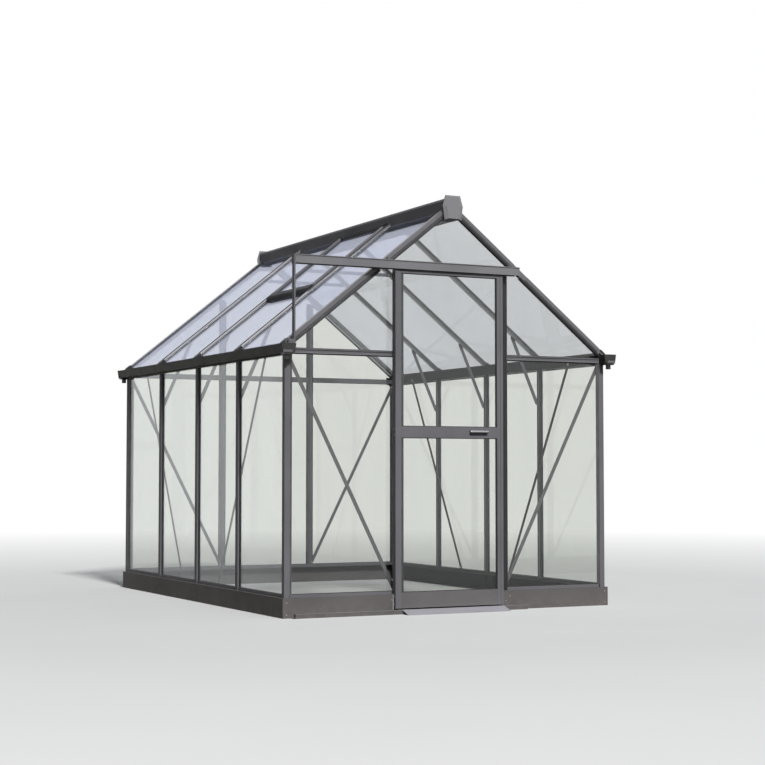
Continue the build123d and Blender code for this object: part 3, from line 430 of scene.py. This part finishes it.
def sweep(shape, start, end, side, out, profile):
    """A straight run of a closed profile, whose points are (sideways, outwards) from the start."""
    rings = []
    for centre in (start, end):
        rings.append([shape.verts.new(centre + side * s + out * o) for s, o in profile])
    bridge(shape, *rings)
    shape.faces.new(rings[0])
    shape.faces.new(rings[1])


def turned(shape, centre, axis, profile, sides=10):
    """A small turned form on an axis; its profile is (radius, height) from the seat to the tip."""
    across = axis.orthogonal().normalized()
    other = axis.cross(across)
    rings = []
    for radius, height in profile:
        ring = []
        for n in range(sides):
            angle = 2 * pi * n / sides
            spoke = across * cos(angle) + other * sin(angle)
            ring.append(shape.verts.new(centre + spoke * radius + axis * height))
        rings.append(ring)
    for lower, upper in zip(rings, rings[1:]):
        bridge(shape, lower, upper)
    shape.faces.new(rings[0])
    shape.faces.new(rings[-1])


def mirrored(shape, axis, centre=0.0):
    """Adds the mirror image of all that the shape holds, across a plane square to X or Y."""
    copied = bmesh.ops.duplicate(shape, geom=shape.verts[:] + shape.edges[:] + shape.faces[:])
    for item in copied["geom"]:
        if isinstance(item, bmesh.types.BMVert):
            item.co[axis] = 2 * centre - item.co[axis]


def turned_about(shape):
    """Sends a shape built at the front to the back gable."""
    for vertex in shape.verts:
        vertex.co.y = 2 * middle_y - vertex.co.y


def finished(name, shape, material, body):
    """Turns a shape into a piece that rides on a body."""
    bmesh.ops.recalc_face_normals(shape, faces=shape.faces[:])
    mesh = bpy.data.meshes.new(name)
    shape.to_mesh(mesh)
    shape.free()
    mesh.materials.append(material)
    piece = bpy.data.objects.new(name, mesh)
    bpy.context.scene.collection.objects.link(piece)
    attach(piece, body)
    return piece


# Glazing seals: rubber strips between the edge of a cap and the glass

bar_strip_reach = 0.007
bar_strip_top = 0.0083
post_strip_reach = 0.014
post_strip_top = 0.0020
door_post_strip_reach = 0.008
door_post_strip_top = 0.0078
rail_seal_inset = 0.008


def seal_profile(edge, reach, top):
    """From the edge of a cap outwards over the glass, thick at the cap and thin at its lip."""
    foot = hair - glass_level
    return [
        (edge + hair, foot),
        (edge + hair, -top),
        (edge + reach / 5, -top),
        (edge + reach, foot + 0.0012),
        (edge + reach, foot),
    ]


bar_seal = seal_profile(bar_half, bar_strip_reach, bar_strip_top)
post_seal = seal_profile(post_leg, post_strip_reach, post_strip_top)
edge_seal = seal_profile(post_leg, bar_strip_reach, bar_strip_top)
door_post_seal = seal_profile(door_post_half, door_post_strip_reach, door_post_strip_top)

# The lip that rises beside a roof bar
raised_lip = [
    (bar_half + hair, hair - glass_level),
    (bar_half + hair, 0.0032),
    (bar_half + 0.0026, 0.0028),
    (bar_half + 0.0032, hair - glass_level),
]

# The strip over the lower half of a rafter's face and the edge of the gable glass,
# as (depth under the roof plane, outwards from the face)
strip_start = 0.0260
strip_end = 0.0420
rafter_strip = [
    (strip_start, hair),
    (strip_start, 0.0014),
    (strip_start + 0.0025, 0.0018),
    (rafter_face, 0.0006),
    (rafter_face + 0.0030, 0.0018),
    (strip_end - 0.0050, 0.0010),
    (strip_end, hair - glass_level + 0.0015),
    (strip_end, hair - glass_level),
    (rafter_face + hair, hair - glass_level),
    (rafter_face + hair, hair),
]

# The raised outer edge of a rafter's face, folded back at its lower side
edge_end = 0.0240
rafter_edge = [
    (0.0006, hair),
    (0.0006, 0.0040),
    (0.0016, 0.0050),
    (0.0190, 0.0050),
    (edge_end, 0.0004),
    (edge_end, hair),
]

# The seal between a rail or sill and the glass
rail_seal = [
    (-0.004, hair - glass_level),
    (-0.004, -0.0062),
    (0.0004, -0.0062),
    (0.0030, -0.0082),
    (0.0030, hair - glass_level),
]
rail_edges = ((sill_top, up), (rail_low, -up), (rail_high, up))

# Where a rafter leaves the gutter
rafter_foot_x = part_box("gutter_left")[1].x + clearance


def side_wall_seals():
    shape = bmesh.new()
    low_z = sill_top + hair
    for line in side_lines:
        for way in (-back, back):
            sweep(shape, Vector((wall_x, line, low_z)), Vector((wall_x, line, eave_z)), way, -right, bar_seal)
    edges = [wall_y + post_leg] + side_lines + [far_wall_y - post_leg]
    for near, distant in zip(edges, edges[1:]):
        near_gap = post_strip_reach if near == edges[0] else bar_half
        far_gap = post_strip_reach if distant == edges[-1] else bar_half
        start = Vector((wall_x, near + near_gap, sill_top))
        sweep(shape, start, Vector((wall_x, distant - far_gap, sill_top)), up, -right, rail_seal)
    mirrored(shape, 0)
    finished("side_wall_seals", shape, rubber, "house")


def corner_strips():
    """Grey strips beside the four corner posts, on both of their faces."""
    shape = bmesh.new()
    foot = Vector((wall_x, wall_y, sill_top + hair))
    head = Vector((wall_x, wall_y, eave_z))
    sweep(shape, foot, head, back, -right, post_seal)
    sweep(shape, foot, head, right, -back, post_seal)
    mirrored(shape, 1, middle_y)
    mirrored(shape, 0)
    finished("corner_strips", shape, strip_plastic, "house")


def rafter_run(shape, from_x, to_x, profile):
    start = on_slope(from_x, wall_y)
    sweep(shape, start, on_slope(to_x, wall_y), -off_slope, -back, profile)


def strip_x(z, depth):
    """Where a strip square to the left slope has to end for its edge at some depth to meet a height."""
    met = roof_top.x - (roof_top.z - depth / cos(roof_pitch) - z) / tan(roof_pitch)
    return met - depth * sin(roof_pitch)


def gable_seals(name, at_back):
    """Seals of one gable, built at the front and turned about for the back."""
    shape = bmesh.new()
    low_z = sill_top + hair
    line = end_lines[0]
    half = bar_half if at_back else door_post_half
    profile = bar_seal if at_back else door_post_seal
    ways = (-right, right) if at_back else (-right,)
    top_z = roof_height(line - half) - (strip_end + clearance) / cos(roof_pitch)
    upper_z = top_z if at_back else header_low.z
    for way in ways:
        for z0, z1 in ((low_z, rail_low), (rail_high, upper_z)):
            sweep(shape, Vector((line, wall_y, z0)), Vector((line, wall_y, z1)), way, -back, profile)
    pane_start = wall_x + post_leg + post_strip_reach
    pane_end = line - half - rail_seal_inset
    for z, way in rail_edges:
        sweep(shape, Vector((pane_start, wall_y, z)), Vector((pane_end, wall_y, z)), way, -back, rail_seal)
    foot_x = rafter_foot_x - strip_start * sin(roof_pitch)
    top_x = roof_top.x - strip_end * sin(roof_pitch) - clearance
    if at_back:
        end_x = line - bar_half - clearance - strip_end * sin(roof_pitch)
        rafter_run(shape, foot_x, end_x, rafter_strip)
        start_x = line + bar_half + clearance - strip_start * sin(roof_pitch)
        rafter_run(shape, start_x, top_x, rafter_strip)
    else:
        rafter_run(shape, foot_x, strip_x(header_low.z - clearance, strip_start), rafter_strip)
        rafter_run(shape, strip_x(header_high.z + clearance, strip_end), top_x, rafter_strip)
    mirrored(shape, 0)
    if at_back:
        for z, way in rail_edges:
            start = Vector((line + bar_half + rail_seal_inset, wall_y, z))
            sweep(shape, start, Vector((-start.x, wall_y, z)), way, -back, rail_seal)
        turned_about(shape)
    finished(name, shape, rubber, "house")


def rafter_edges():
    """The raised edges of the rafters on both gables, open where the door's header crosses."""
    top_x = roof_top.x - edge_end * sin(roof_pitch) - clearance
    front = bmesh.new()
    rafter_run(front, rafter_foot_x, strip_x(header_low.z - clearance, 0), rafter_edge)
    rafter_run(front, strip_x(header_high.z + clearance, edge_end), top_x, rafter_edge)
    mirrored(front, 0)
    finished("rafter_edges_front", front, rafter_coat, "house")
    rear = bmesh.new()
    rafter_run(rear, rafter_foot_x, top_x, rafter_edge)
    mirrored(rear, 0)
    turned_about(rear)
    finished("rafter_edges_back", rear, rafter_coat, "house")


def roof_seals():
    shape = bmesh.new()
    toe_inset = 0.004
    low_x = roof_toe_x + toe_inset
    for line in side_lines:
        start = on_slope(low_x, line)
        end = on_slope(roof_top.x, line)
        sweep(shape, start, end, -back, off_slope, bar_seal)
        sweep(shape, start, end, back, off_slope, raised_lip)
    for edge_y, way in ((wall_y, back), (far_wall_y, -back)):
        start = on_slope(low_x, edge_y)
        sweep(shape, start, on_slope(roof_top.x, edge_y), way, off_slope, edge_seal)
    mirrored(shape, 0)
    finished("roof_seals", shape, rubber, "house")


side_wall_seals()
corner_strips()
gable_seals("gable_seals_front", False)
gable_seals("gable_seals_back", True)
rafter_edges()
roof_seals()


# Black plugs in the toes of the roof bars and rafters, with a short sleeve over each toe

def bar_plugs():
    shape = bmesh.new()
    spans = [(line - bar_half, line + bar_half) for line in side_lines]
    spans += [(wall_y, wall_y + post_leg), (far_wall_y - post_leg, far_wall_y)]
    plug = 0.0035
    sleeve = 0.036
    wider = 0.0012
    seat = 0.0012 - glass_level
    for y0, y1 in spans:
        top = on_slope(roof_toe_x - hair, y0)
        profile = [(0, 0), (0, -0.0125), (-plug, -0.0115), (-plug - 0.001, -0.0060), (-plug, -0.0008)]
        sweep(shape, top, Vector((top.x, y1, top.z)), right, up, profile)
        over = [(0, seat), (0, 0.0030), (sleeve - 0.004, 0.0034), (sleeve, 0.0012), (sleeve, seat)]
        sweep(shape, on_slope(top.x, y0 - wider), on_slope(top.x, y1 + wider), up_slope, off_slope, over)
    mirrored(shape, 0)
    finished("bar_plugs", shape, black_plastic, "house")


bar_plugs()


# Roof vent: the strip at its foot over the fixed pane, and the hinge line under the ridge, both in the vent's
# near-black coat of painted shade

def vent_trim():
    shape = bmesh.new()
    low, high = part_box("vent_rails")
    foot = low.x - hair
    foot_strip = [
        (0, hair - glass_level),
        (0, 0.009),
        (-0.003, 0.008),
        (-0.010, -0.0080),
        (-0.010, hair - glass_level),
    ]
    sweep(shape, on_slope(foot, low.y), on_slope(foot, high.y), up_slope, off_slope, foot_strip)
    hinge = [(-0.0150, 0.0105), (-0.0150, 0.0120), (-0.0100, 0.0150), (-0.0020, 0.0150), (-0.0003, 0.0105)]
    sweep(shape, on_slope(high.x, low.y), on_slope(high.x, high.y), up_slope, off_slope, hinge)
    finished("vent_trim", shape, vent_shaded_coat, "house")


vent_trim()


# Joint of the two ridge lengths, on the line of the first glazing bar

def ridge_joint():
    shape = bmesh.new()
    low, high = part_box("ridge_beam")
    joint_width = 0.006
    outline = [
        (low.x - 0.0008, low.z),
        (low.x - 0.0008, high.z - 0.0130),
        (low.x + 0.0085, high.z + 0.0008),
        (0.0, high.z + 0.0008),
        (0.0, high.z - 0.0005),
        (low.x + 0.0095, high.z - 0.0005),
        (low.x + 0.0008, high.z - 0.0140),
        (low.x + 0.0008, low.z),
    ]
    origin = Vector((0, side_lines[0] - bar_half, 0))
    sweep(shape, origin, origin - back * joint_width, right, up, outline)
    mirrored(shape, 0)
    finished("ridge_joint", shape, rubber, "house")


ridge_joint()


# Ridge caps: the folded faces round their flat front

def ridge_cap_covers():
    shape = bmesh.new()
    low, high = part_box("ridge_caps")
    foot_half = 0.050
    waist_half = 0.060
    crown_half = 0.043
    waist_z = low.z + 0.074
    side_fold = 0.020
    end_fold = 0.007
    fold_depth = 0.012
    seat_gap = 0.0003
    seat_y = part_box("ridge_beam")[0].y - seat_gap
    outer = [
        (-foot_half, low.z),
        (foot_half, low.z),
        (waist_half, waist_z),
        (crown_half, high.z),
        (-crown_half, high.z),
        (-waist_half, waist_z),
    ]
    inner = []
    for x, z in outer:
        inward_x = x - side_fold if x > 0 else x + side_fold
        if z == low.z:
            inward_z = z + end_fold
        elif z == high.z:
            inward_z = z - end_fold
        else:
            inward_z = z
        inner.append((inward_x, inward_z))
    rings = []
    for loop, y in ((outer, seat_y), (outer, low.y + fold_depth), (inner, low.y)):
        rings.append([shape.verts.new((x, y, z)) for x, z in loop])
    for lower, upper in zip(rings, rings[1:]):
        bridge(shape, lower, upper)
    shape.faces.new(rings[0])
    shape.faces.new(rings[-1])
    mirrored(shape, 1, middle_y)
    covers = finished("ridge_cap_covers", shape, cap_coat, "house")
    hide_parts("ridge_caps")


ridge_cap_covers()


# Fine lines of the front: beads on the rails, the header's top edge and the track's edge in the header's
# lighter coat, a painted highlight on the rails and track; black strips in the grooves of the rails and
# header, painted shade; and the track's end plug

def front_lines():
    light = bmesh.new()
    dark = bmesh.new()
    rail_start = wall_x + post_leg + clearance
    rail_end = end_lines[0] - door_post_half - clearance
    rail_bead_z = rail_low + 0.0050
    rail_groove_z = rail_high - 0.0070
    edge_drop = 0.0022
    header_groove_z = header_high.z - 0.0062
    bead = [(-0.0020, hair), (-0.0020, 0.0014), (0.0020, 0.0014), (0.0020, hair)]
    groove = [(-0.0012, hair), (-0.0012, 0.0004), (0.0012, 0.0004), (0.0012, hair)]
    # The rail beads are lighter than the rails, a painted highlight; the black groove strips are painted
    # shade in the grooves
    for shape, z, profile in ((light, rail_bead_z, bead), (dark, rail_groove_z, groove)):
        sweep(shape, Vector((rail_start, wall_y, z)), Vector((rail_end, wall_y, z)), up, -back, profile)
        mirrored(shape, 0)
    face_y = header_low.y
    for shape, z, profile in ((light, header_high.z - edge_drop, bead), (dark, header_groove_z, groove)):
        start = Vector((header_low.x + clearance, face_y, z))
        sweep(shape, start, Vector((header_high.x - clearance, face_y, z)), up, -back, profile)
    track_low, track_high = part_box("bottom_track")
    ramp_low, ramp_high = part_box("entrance_ramp")
    plug_length = 0.0105
    z = track_high.z - edge_drop
    runs = ((track_low.x + plug_length, ramp_low.x - clearance), (ramp_high.x + clearance, track_high.x))
    # Beads lighter than the track along its top edge, a painted highlight
    for x0, x1 in runs:
        sweep(light, Vector((x0, track_low.y, z)), Vector((x1, track_low.y, z)), up, -back, bead)
    plug = [(0, -0.0010), (plug_length, -0.0010), (plug_length, 0.0004), (0, 0.0004)]
    start = Vector((track_low.x - 0.0006, track_low.y, 0.0010))
    sweep(dark, start, start + up * (track_high.z - 0.0026), right, -back, plug)
    finished("front_highlight_beads", light, header_coat, "house")
    finished("front_shade_strips_and_plug", dark, rubber, "house")


front_lines()


def gutter_bands():
    """The pale band low on the face of the two front gutter end caps."""
    shape = bmesh.new()
    cap_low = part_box("gutter_ends")[0]
    band_z = (1.3235, 1.3355)
    band_x = (base_corner.x - 0.0230, base_corner.x + 0.0250)
    band_width = band_x[1] - band_x[0]
    face = [(0, -hair), (0, hair), (band_width, hair), (band_width, -hair)]
    start = Vector((band_x[0], cap_low.y, band_z[0]))
    sweep(shape, start, Vector((band_x[0], cap_low.y, band_z[1])), right, -back, face)
    mirrored(shape, 0)
    finished("gutter_bands", shape, frame_coat, "house")


gutter_bands()


# Door: black seals on the fixed posts, pile strips on the leaf, seals round its panes

def door_post_seals():
    shape = bmesh.new()
    half = door_post_half - clearance
    under_header = 0.012
    ribs = 6
    ribbed = [(-half, hair), (-half, 0.0012), (-half + 0.002, 0.0018)]
    for n in range(ribs):
        centre = -half + 0.002 + (2 * half - 0.004) * (n + 0.5) / ribs
        ribbed += [(centre - 0.0018, 0.0010), (centre, 0.0018), (centre + 0.0018, 0.0010)]
    ribbed += [(half - 0.002, 0.0018), (half, 0.0012), (half, hair)]
    for line in end_lines:
        start = Vector((line, wall_y, base_top + clearance))
        sweep(shape, start, Vector((line, wall_y, header_low.z + under_header)), right, -back, ribbed)
    finished("door_post_seals", shape, rubber, "house")


def leaf_pile():
    """Upright draught strips behind both stiles, and a sweep strip under the leaf."""
    shape = bmesh.new()
    leaf_back = leaf_high.y + hair
    above_guides = 0.095
    under_header = 0.004
    stile_inset = 0.036
    sweep_inset = 0.0150
    above_track = 0.0008
    tuft = [(0, 0), (0.0005, 0.011), (0.0035, 0.011), (0.004, 0)]
    low_z = leaf_low.z + above_guides
    high_z = header_low.z - under_header
    for x, way in ((leaf_low.x, right), (leaf_high.x, -right)):
        sweep(shape, Vector((x, leaf_back, low_z)), Vector((x, leaf_back, high_z)), way, back, tuft)
    reach = leaf_low.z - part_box("bottom_track")[1].z - above_track
    hanging = [(0, 0), (0.0010, reach), (0.0060, reach), (0.0070, 0)]
    start = Vector((leaf_low.x + stile_inset, leaf_high.y - sweep_inset, leaf_low.z - hair))
    sweep(shape, start, Vector((leaf_high.x - stile_inset, start.y, start.z)), back, -up, hanging)
    finished("leaf_pile", shape, pile, "door")


def stile_flanges():
    """The raised outer edges of both stiles."""
    shape = bmesh.new()
    flange_width = 0.016
    under_header = 0.0015
    flange = [(0, hair), (0, 0.0020), (flange_width - 0.0006, 0.0020), (flange_width, hair)]
    top_z = header_low.z - under_header
    for x, way in ((leaf_low.x, right), (leaf_high.x, -right)):
        start = Vector((x, leaf_low.y, leaf_low.z))
        sweep(shape, start, Vector((x, leaf_low.y, top_z)), way, -back, flange)
    finished("stile_flanges", shape, frame_coat, "door")


def pane_surround(shape, low, high, face_y, out):
    """Four mitred seal strips round a pane, on one side of it."""
    width = 0.0035
    height = 0.0028
    corners = [(low.x, low.z), (high.x, low.z), (high.x, high.z), (low.x, high.z)]
    inner = [
        (low.x + width, low.z + width),
        (high.x - width, low.z + width),
        (high.x - width, high.z - width),
        (low.x + width, high.z - width),
    ]
    rings = []
    for loop, level in ((corners, 0), (corners, height), (inner, height * 0.4), (inner, 0)):
        rings.append([shape.verts.new((x, face_y + out * level, z)) for x, z in loop])
    for lower, upper in zip(rings, rings[1:] + rings[:1]):
        bridge(shape, lower, upper)


def leaf_seals():
    shape = bmesh.new()
    rails_low, rails_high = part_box("door_rails")
    panel_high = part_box("door_kick_panel")[1]
    glass_low, glass_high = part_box("door_glass")
    mid_rail_height = 0.058
    top_rail_height = 0.027
    spans = (
        (panel_high.z, rails_low.z),
        (rails_low.z + mid_rail_height, rails_high.z - top_rail_height),
    )
    for z0, z1 in spans:
        low = Vector((rails_low.x, 0, z0))
        high = Vector((rails_high.x, 0, z1))
        pane_surround(shape, low, high, glass_low.y - hair, -1)
        pane_surround(shape, low, high, glass_high.y + hair, 1)
    finished("leaf_seals", shape, rubber, "door")


def handle_bosses():
    """The feet of the handle on the leaf, and a black strip under its grip, painted shade of the grip's
    underside.
    """
    shape = bmesh.new()
    low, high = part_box("door_handle")
    inset = 0.012
    z = (low.z + high.z) / 2
    face_y = leaf_low.y - hair
    boss = [(0.0098, 0), (0.0098, 0.0030), (0.0085, 0.0052), (0.0058, 0.0062)]
    for x in (low.x + inset, high.x - inset):
        turned(shape, Vector((x, face_y, z)), -back, boss, 20)
    # Black plastic strip under the grip: painted shade on the handle's underside
    grip_shade_strip = [(0, -0.0030), (0.0045, -0.0030), (0.0045, 0.0008), (0.0010, 0.0012), (0, 0.0006)]
    start = Vector((low.x + clearance, low.y, low.z - 0.0006))
    sweep(shape, start, Vector((high.x - clearance, low.y, start.z)), up, -back, grip_shade_strip)
    finished("handle_bosses", shape, black_plastic, "door")


door_post_seals()
leaf_pile()
stile_flanges()
leaf_seals()
handle_bosses()


# Screws and bolts

screw_profile = [(0.0036, 0), (0.0036, 0.0009), (0.0029, 0.0018), (0.0014, 0.0022), (0.0012, 0.0013)]
washer_profile = [(0.0072, 0), (0.0072, 0.0010), (0.0066, 0.0013)]
nut_profile = [(0.0056, 0.0013), (0.0056, 0.0046), (0.0049, 0.0052)]
black_head = [(0.0060, 0), (0.0060, 0.0030), (0.0048, 0.0045), (0.0022, 0.0048)]

# Screws beside the doorway, as (from the left corner of the base, height)
doorway_screws = ((0.606, 0.0745), (1.3092, 0.0713), (1.2832, 0.0453))


def base_screws():
    shape = bmesh.new()
    inset = 0.0205
    low_z = 0.0175
    high_z = 0.077
    front_y = base_corner.y - hair
    for z in (low_z, high_z):
        turned(shape, Vector((base_corner.x + inset, front_y, z)), -back, screw_profile)
    mirrored(shape, 1, middle_y)
    mirrored(shape, 0)
    for x, z in doorway_screws:
        turned(shape, Vector((base_corner.x + x, front_y, z)), -back, screw_profile)
    finished("base_screws", shape, zinc, "house")


def bolt(shape, place, axis):
    turned(shape, place, axis, washer_profile, 16)
    turned(shape, place, axis, nut_profile, 6)


def brace_bolts():
    """Bolts at the ends of the braces and ties, on the faces that look into the house."""
    shape = bmesh.new()
    knee_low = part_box("knee_braces")[0]
    strap_end = 0.010
    web_side = 0.0073
    brace_depth = 0.0263
    knee_reach = 0.203
    front_foot_inset = 0.0223
    back_foot_inset = 0.0118
    side_brace_run = 0.658
    wall_end = Vector((knee_low.x + strap_end, 0, knee_low.z + strap_end))
    roof_x = base_corner.x + knee_reach
    tie_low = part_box("collar_ties")[0]
    for line in side_lines:
        outer = line + web_side + strap_thickness + hair
        bolt(shape, Vector((wall_end.x, outer, wall_end.z)), back)
        bolt(shape, Vector((roof_x, outer, roof_height(roof_x) - brace_depth / cos(roof_pitch))), back)
        tie_y = line - web_side - strap_thickness - hair
        bolt(shape, Vector((tie_low.x + strap_end, tie_y, tie_low.z + strap_end)), -back)
    gable_low, gable_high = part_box("gable_braces")
    gable_y = gable_low.y + strap_thickness + hair
    low_z = gable_low.z + strap_end
    high_z = gable_high.z - strap_end
    top_x = gable_low.x + strap_end
    bolt(shape, Vector((top_x, gable_y, high_z)), back)
    bolt(shape, Vector((end_lines[0] - front_foot_inset, gable_y, low_z)), back)
    back_y = 2 * middle_y - gable_y
    bolt(shape, Vector((top_x, back_y, high_z)), -back)
    bolt(shape, Vector((end_lines[0] - back_foot_inset, back_y, low_z)), -back)
    side_low, side_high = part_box("side_braces")
    side_x = side_low.x + strap_thickness + hair
    foot_y = side_low.y + side_brace_run + strap_end
    top_y = side_low.y + strap_end
    cross = (side_lines[0] - top_y) / (foot_y - top_y)
    foot_z = side_low.z + strap_end
    head_z = side_high.z - strap_end
    cross_z = head_z + (foot_z - head_z) * cross
    for y, z in ((top_y, head_z), (foot_y, foot_z), (side_lines[0], cross_z)):
        bolt(shape, Vector((side_x, y, z)), right)
        bolt(shape, Vector((side_x, 2 * middle_y - y, z)), right)
    mirrored(shape, 0)
    finished("brace_bolts", shape, zinc, "house")


def leaf_screws():
    shape = bmesh.new()
    rails_low, rails_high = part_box("door_rails")
    panel_low, panel_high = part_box("door_kick_panel")
    y = (leaf_low.y + leaf_high.y) / 2
    panel_inset = 0.020
    mid_rail_levels = (0.014, 0.044)
    top_rail_inset = 0.013
    levels = [panel_low.z + panel_inset, panel_high.z - panel_inset]
    levels += [rails_low.z + level for level in mid_rail_levels]
    levels.append(rails_high.z - top_rail_inset)
    for z in levels:
        turned(shape, Vector((leaf_low.x - hair, y, z)), -right, screw_profile)
        turned(shape, Vector((leaf_high.x + hair, y, z)), right, screw_profile)
    finished("leaf_screws", shape, zinc, "door")


def strut_bolt():
    shape = bmesh.new()
    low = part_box("header_strut")[0]
    inset = 0.012
    bolt_z = 1.3798
    turned(shape, Vector((low.x + inset, low.y - hair, bolt_z)), -back, black_head, 12)
    finished("strut_bolt", shape, black_plastic, "house")


base_screws()
brace_bolts()
leaf_screws()
strut_bolt()


# Stage: floor, daylight from the front, white surroundings and the camera

def looked_at(tree):
    """One for a ray from the camera, a mirror or the glass, and zero for the light that spreads."""
    rays = tree.nodes.new("ShaderNodeLightPath")
    seen = rays.outputs["Is Camera Ray"]
    for kind in ("Is Glossy Ray", "Is Transmission Ray"):
        either = tree.nodes.new("ShaderNodeMath")
        either.operation = "MAXIMUM"
        tree.links.new(seen, either.inputs[0])
        tree.links.new(rays.outputs[kind], either.inputs[1])
        seen = either.outputs["Value"]
    return seen


def make_floor():
    """A pale floor that fades to white a few metres away and throws little light back."""
    mesh = bpy.data.meshes.new("floor")
    half = 60
    corners = [(-half, -half, 0), (half, -half, 0), (half, half, 0), (-half, half, 0)]
    mesh.from_pydata(corners, [], [(0, 1, 2, 3)])
    floor = bpy.data.objects.new("floor", mesh)
    bpy.context.scene.collection.objects.link(floor)
    material, tree, output, place = new_material("floor_pale")
    matt = tree.nodes.new("ShaderNodeBsdfDiffuse")
    mottle = remap(tree, noise(tree, place, 1.4, 4.0), 0.3, 0.7, 0, 1)
    tree.links.new(
        colour_mix(tree, mottle, shaded(floor_pale, 0.99), shaded(floor_pale, 1.01)), matt.inputs["Color"]
    )
    white = tree.nodes.new("ShaderNodeEmission")
    distance = tree.nodes.new("ShaderNodeVectorMath")
    distance.operation = "LENGTH"
    tree.links.new(place, distance.inputs[0])
    fade = remap(tree, distance.outputs["Value"], fade_start, fade_end, 0, 1)
    pale = tree.nodes.new("ShaderNodeMixShader")
    tree.links.new(fade, pale.inputs["Fac"])
    tree.links.new(matt.outputs["BSDF"], pale.inputs[1])
    tree.links.new(white.outputs["Emission"], pale.inputs[2])
    bounce = tree.nodes.new("ShaderNodeBsdfDiffuse")
    bounce.inputs["Color"].default_value = (*floor_bounce, 1)
    blend = tree.nodes.new("ShaderNodeMixShader")
    tree.links.new(looked_at(tree), blend.inputs["Fac"])
    tree.links.new(bounce.outputs["BSDF"], blend.inputs[1])
    tree.links.new(pale.outputs["Shader"], blend.inputs[2])
    tree.links.new(blend.outputs["Shader"], output.inputs["Surface"])
    mesh.materials.append(material)


def make_world():
    """White where the camera, a mirror or the glass looks; as light, soft and brighter from the right."""
    world = bpy.data.worlds.new("surroundings")
    bpy.context.scene.world = world
    world.use_nodes = True
    tree = world.node_tree
    tree.nodes.clear()
    output = tree.nodes.new("ShaderNodeOutputWorld")
    direction = tree.nodes.new("ShaderNodeTexCoord").outputs["Generated"]
    towards = tree.nodes.new("ShaderNodeVectorMath")
    towards.operation = "DOT_PRODUCT"
    towards.inputs[1].default_value = soft_side
    tree.links.new(direction, towards.inputs[0])
    soft = tree.nodes.new("ShaderNodeBackground")
    soft.inputs["Color"].default_value = (*soft_colour, 1)
    tree.links.new(
        remap(tree, towards.outputs["Value"], -0.3, 0.9, soft_dim, soft_bright), soft.inputs["Strength"]
    )
    white = tree.nodes.new("ShaderNodeBackground")
    white.inputs["Color"].default_value = (1, 1, 1, 1)
    white.inputs["Strength"].default_value = 1
    blend = tree.nodes.new("ShaderNodeMixShader")
    tree.links.new(looked_at(tree), blend.inputs["Fac"])
    tree.links.new(soft.outputs["Background"], blend.inputs[1])
    tree.links.new(white.outputs["Background"], blend.inputs[2])
    tree.links.new(blend.outputs["Shader"], output.inputs["Surface"])


def sun(name, azimuth, elevation, strength, softness):
    """A lamp that shines from an azimuth, 0 in front and 90 on the right, and a height above the horizon."""
    data = bpy.data.lights.new(name, "SUN")
    data.energy = strength
    data.angle = radians(softness)
    lamp = bpy.data.objects.new(name, data)
    bpy.context.scene.collection.objects.link(lamp)
    turn = Matrix.Rotation(radians(azimuth), 3, "Z")
    towards = turn @ Matrix.Rotation(radians(elevation), 3, "X").inverted() @ Vector((0, -1, 0))
    lamp.rotation_euler = towards.to_track_quat("Z", "Y").to_euler()
    return lamp


def spare_panes(lamp):
    """Keeps a lamp's own disc from being mirrored in the panes."""
    unlit_panes = bpy.data.collections.new("unlit_panes")
    for node in nodes:
        if "glass" in node:
            unlit_panes.objects.link(nodes[node])
    for pane in unlit_panes.collection_objects:
        pane.light_linking.link_state = "EXCLUDE"
    lamp.light_linking.receiver_collection = unlit_panes


def make_camera():
    data = bpy.data.cameras.new("camera")
    data.lens = camera_lens
    data.sensor_width = sensor_width
    data.clip_end = 500
    camera = bpy.data.objects.new("camera", data)
    bpy.context.scene.collection.objects.link(camera)
    camera.location = base_corner + camera_from_corner
    camera.rotation_euler = (radians(90 + camera_pitch), 0, radians(-camera_yaw))
    bpy.context.scene.camera = camera


make_floor()
make_world()
key_lamp = sun("key_lamp", key_azimuth, key_elevation, key_strength, key_softness)
spare_panes(key_lamp)
make_camera()

scene = bpy.context.scene
scene.view_settings.view_transform = "Standard"
scene.cycles.transparent_max_bounces = pane_bounces
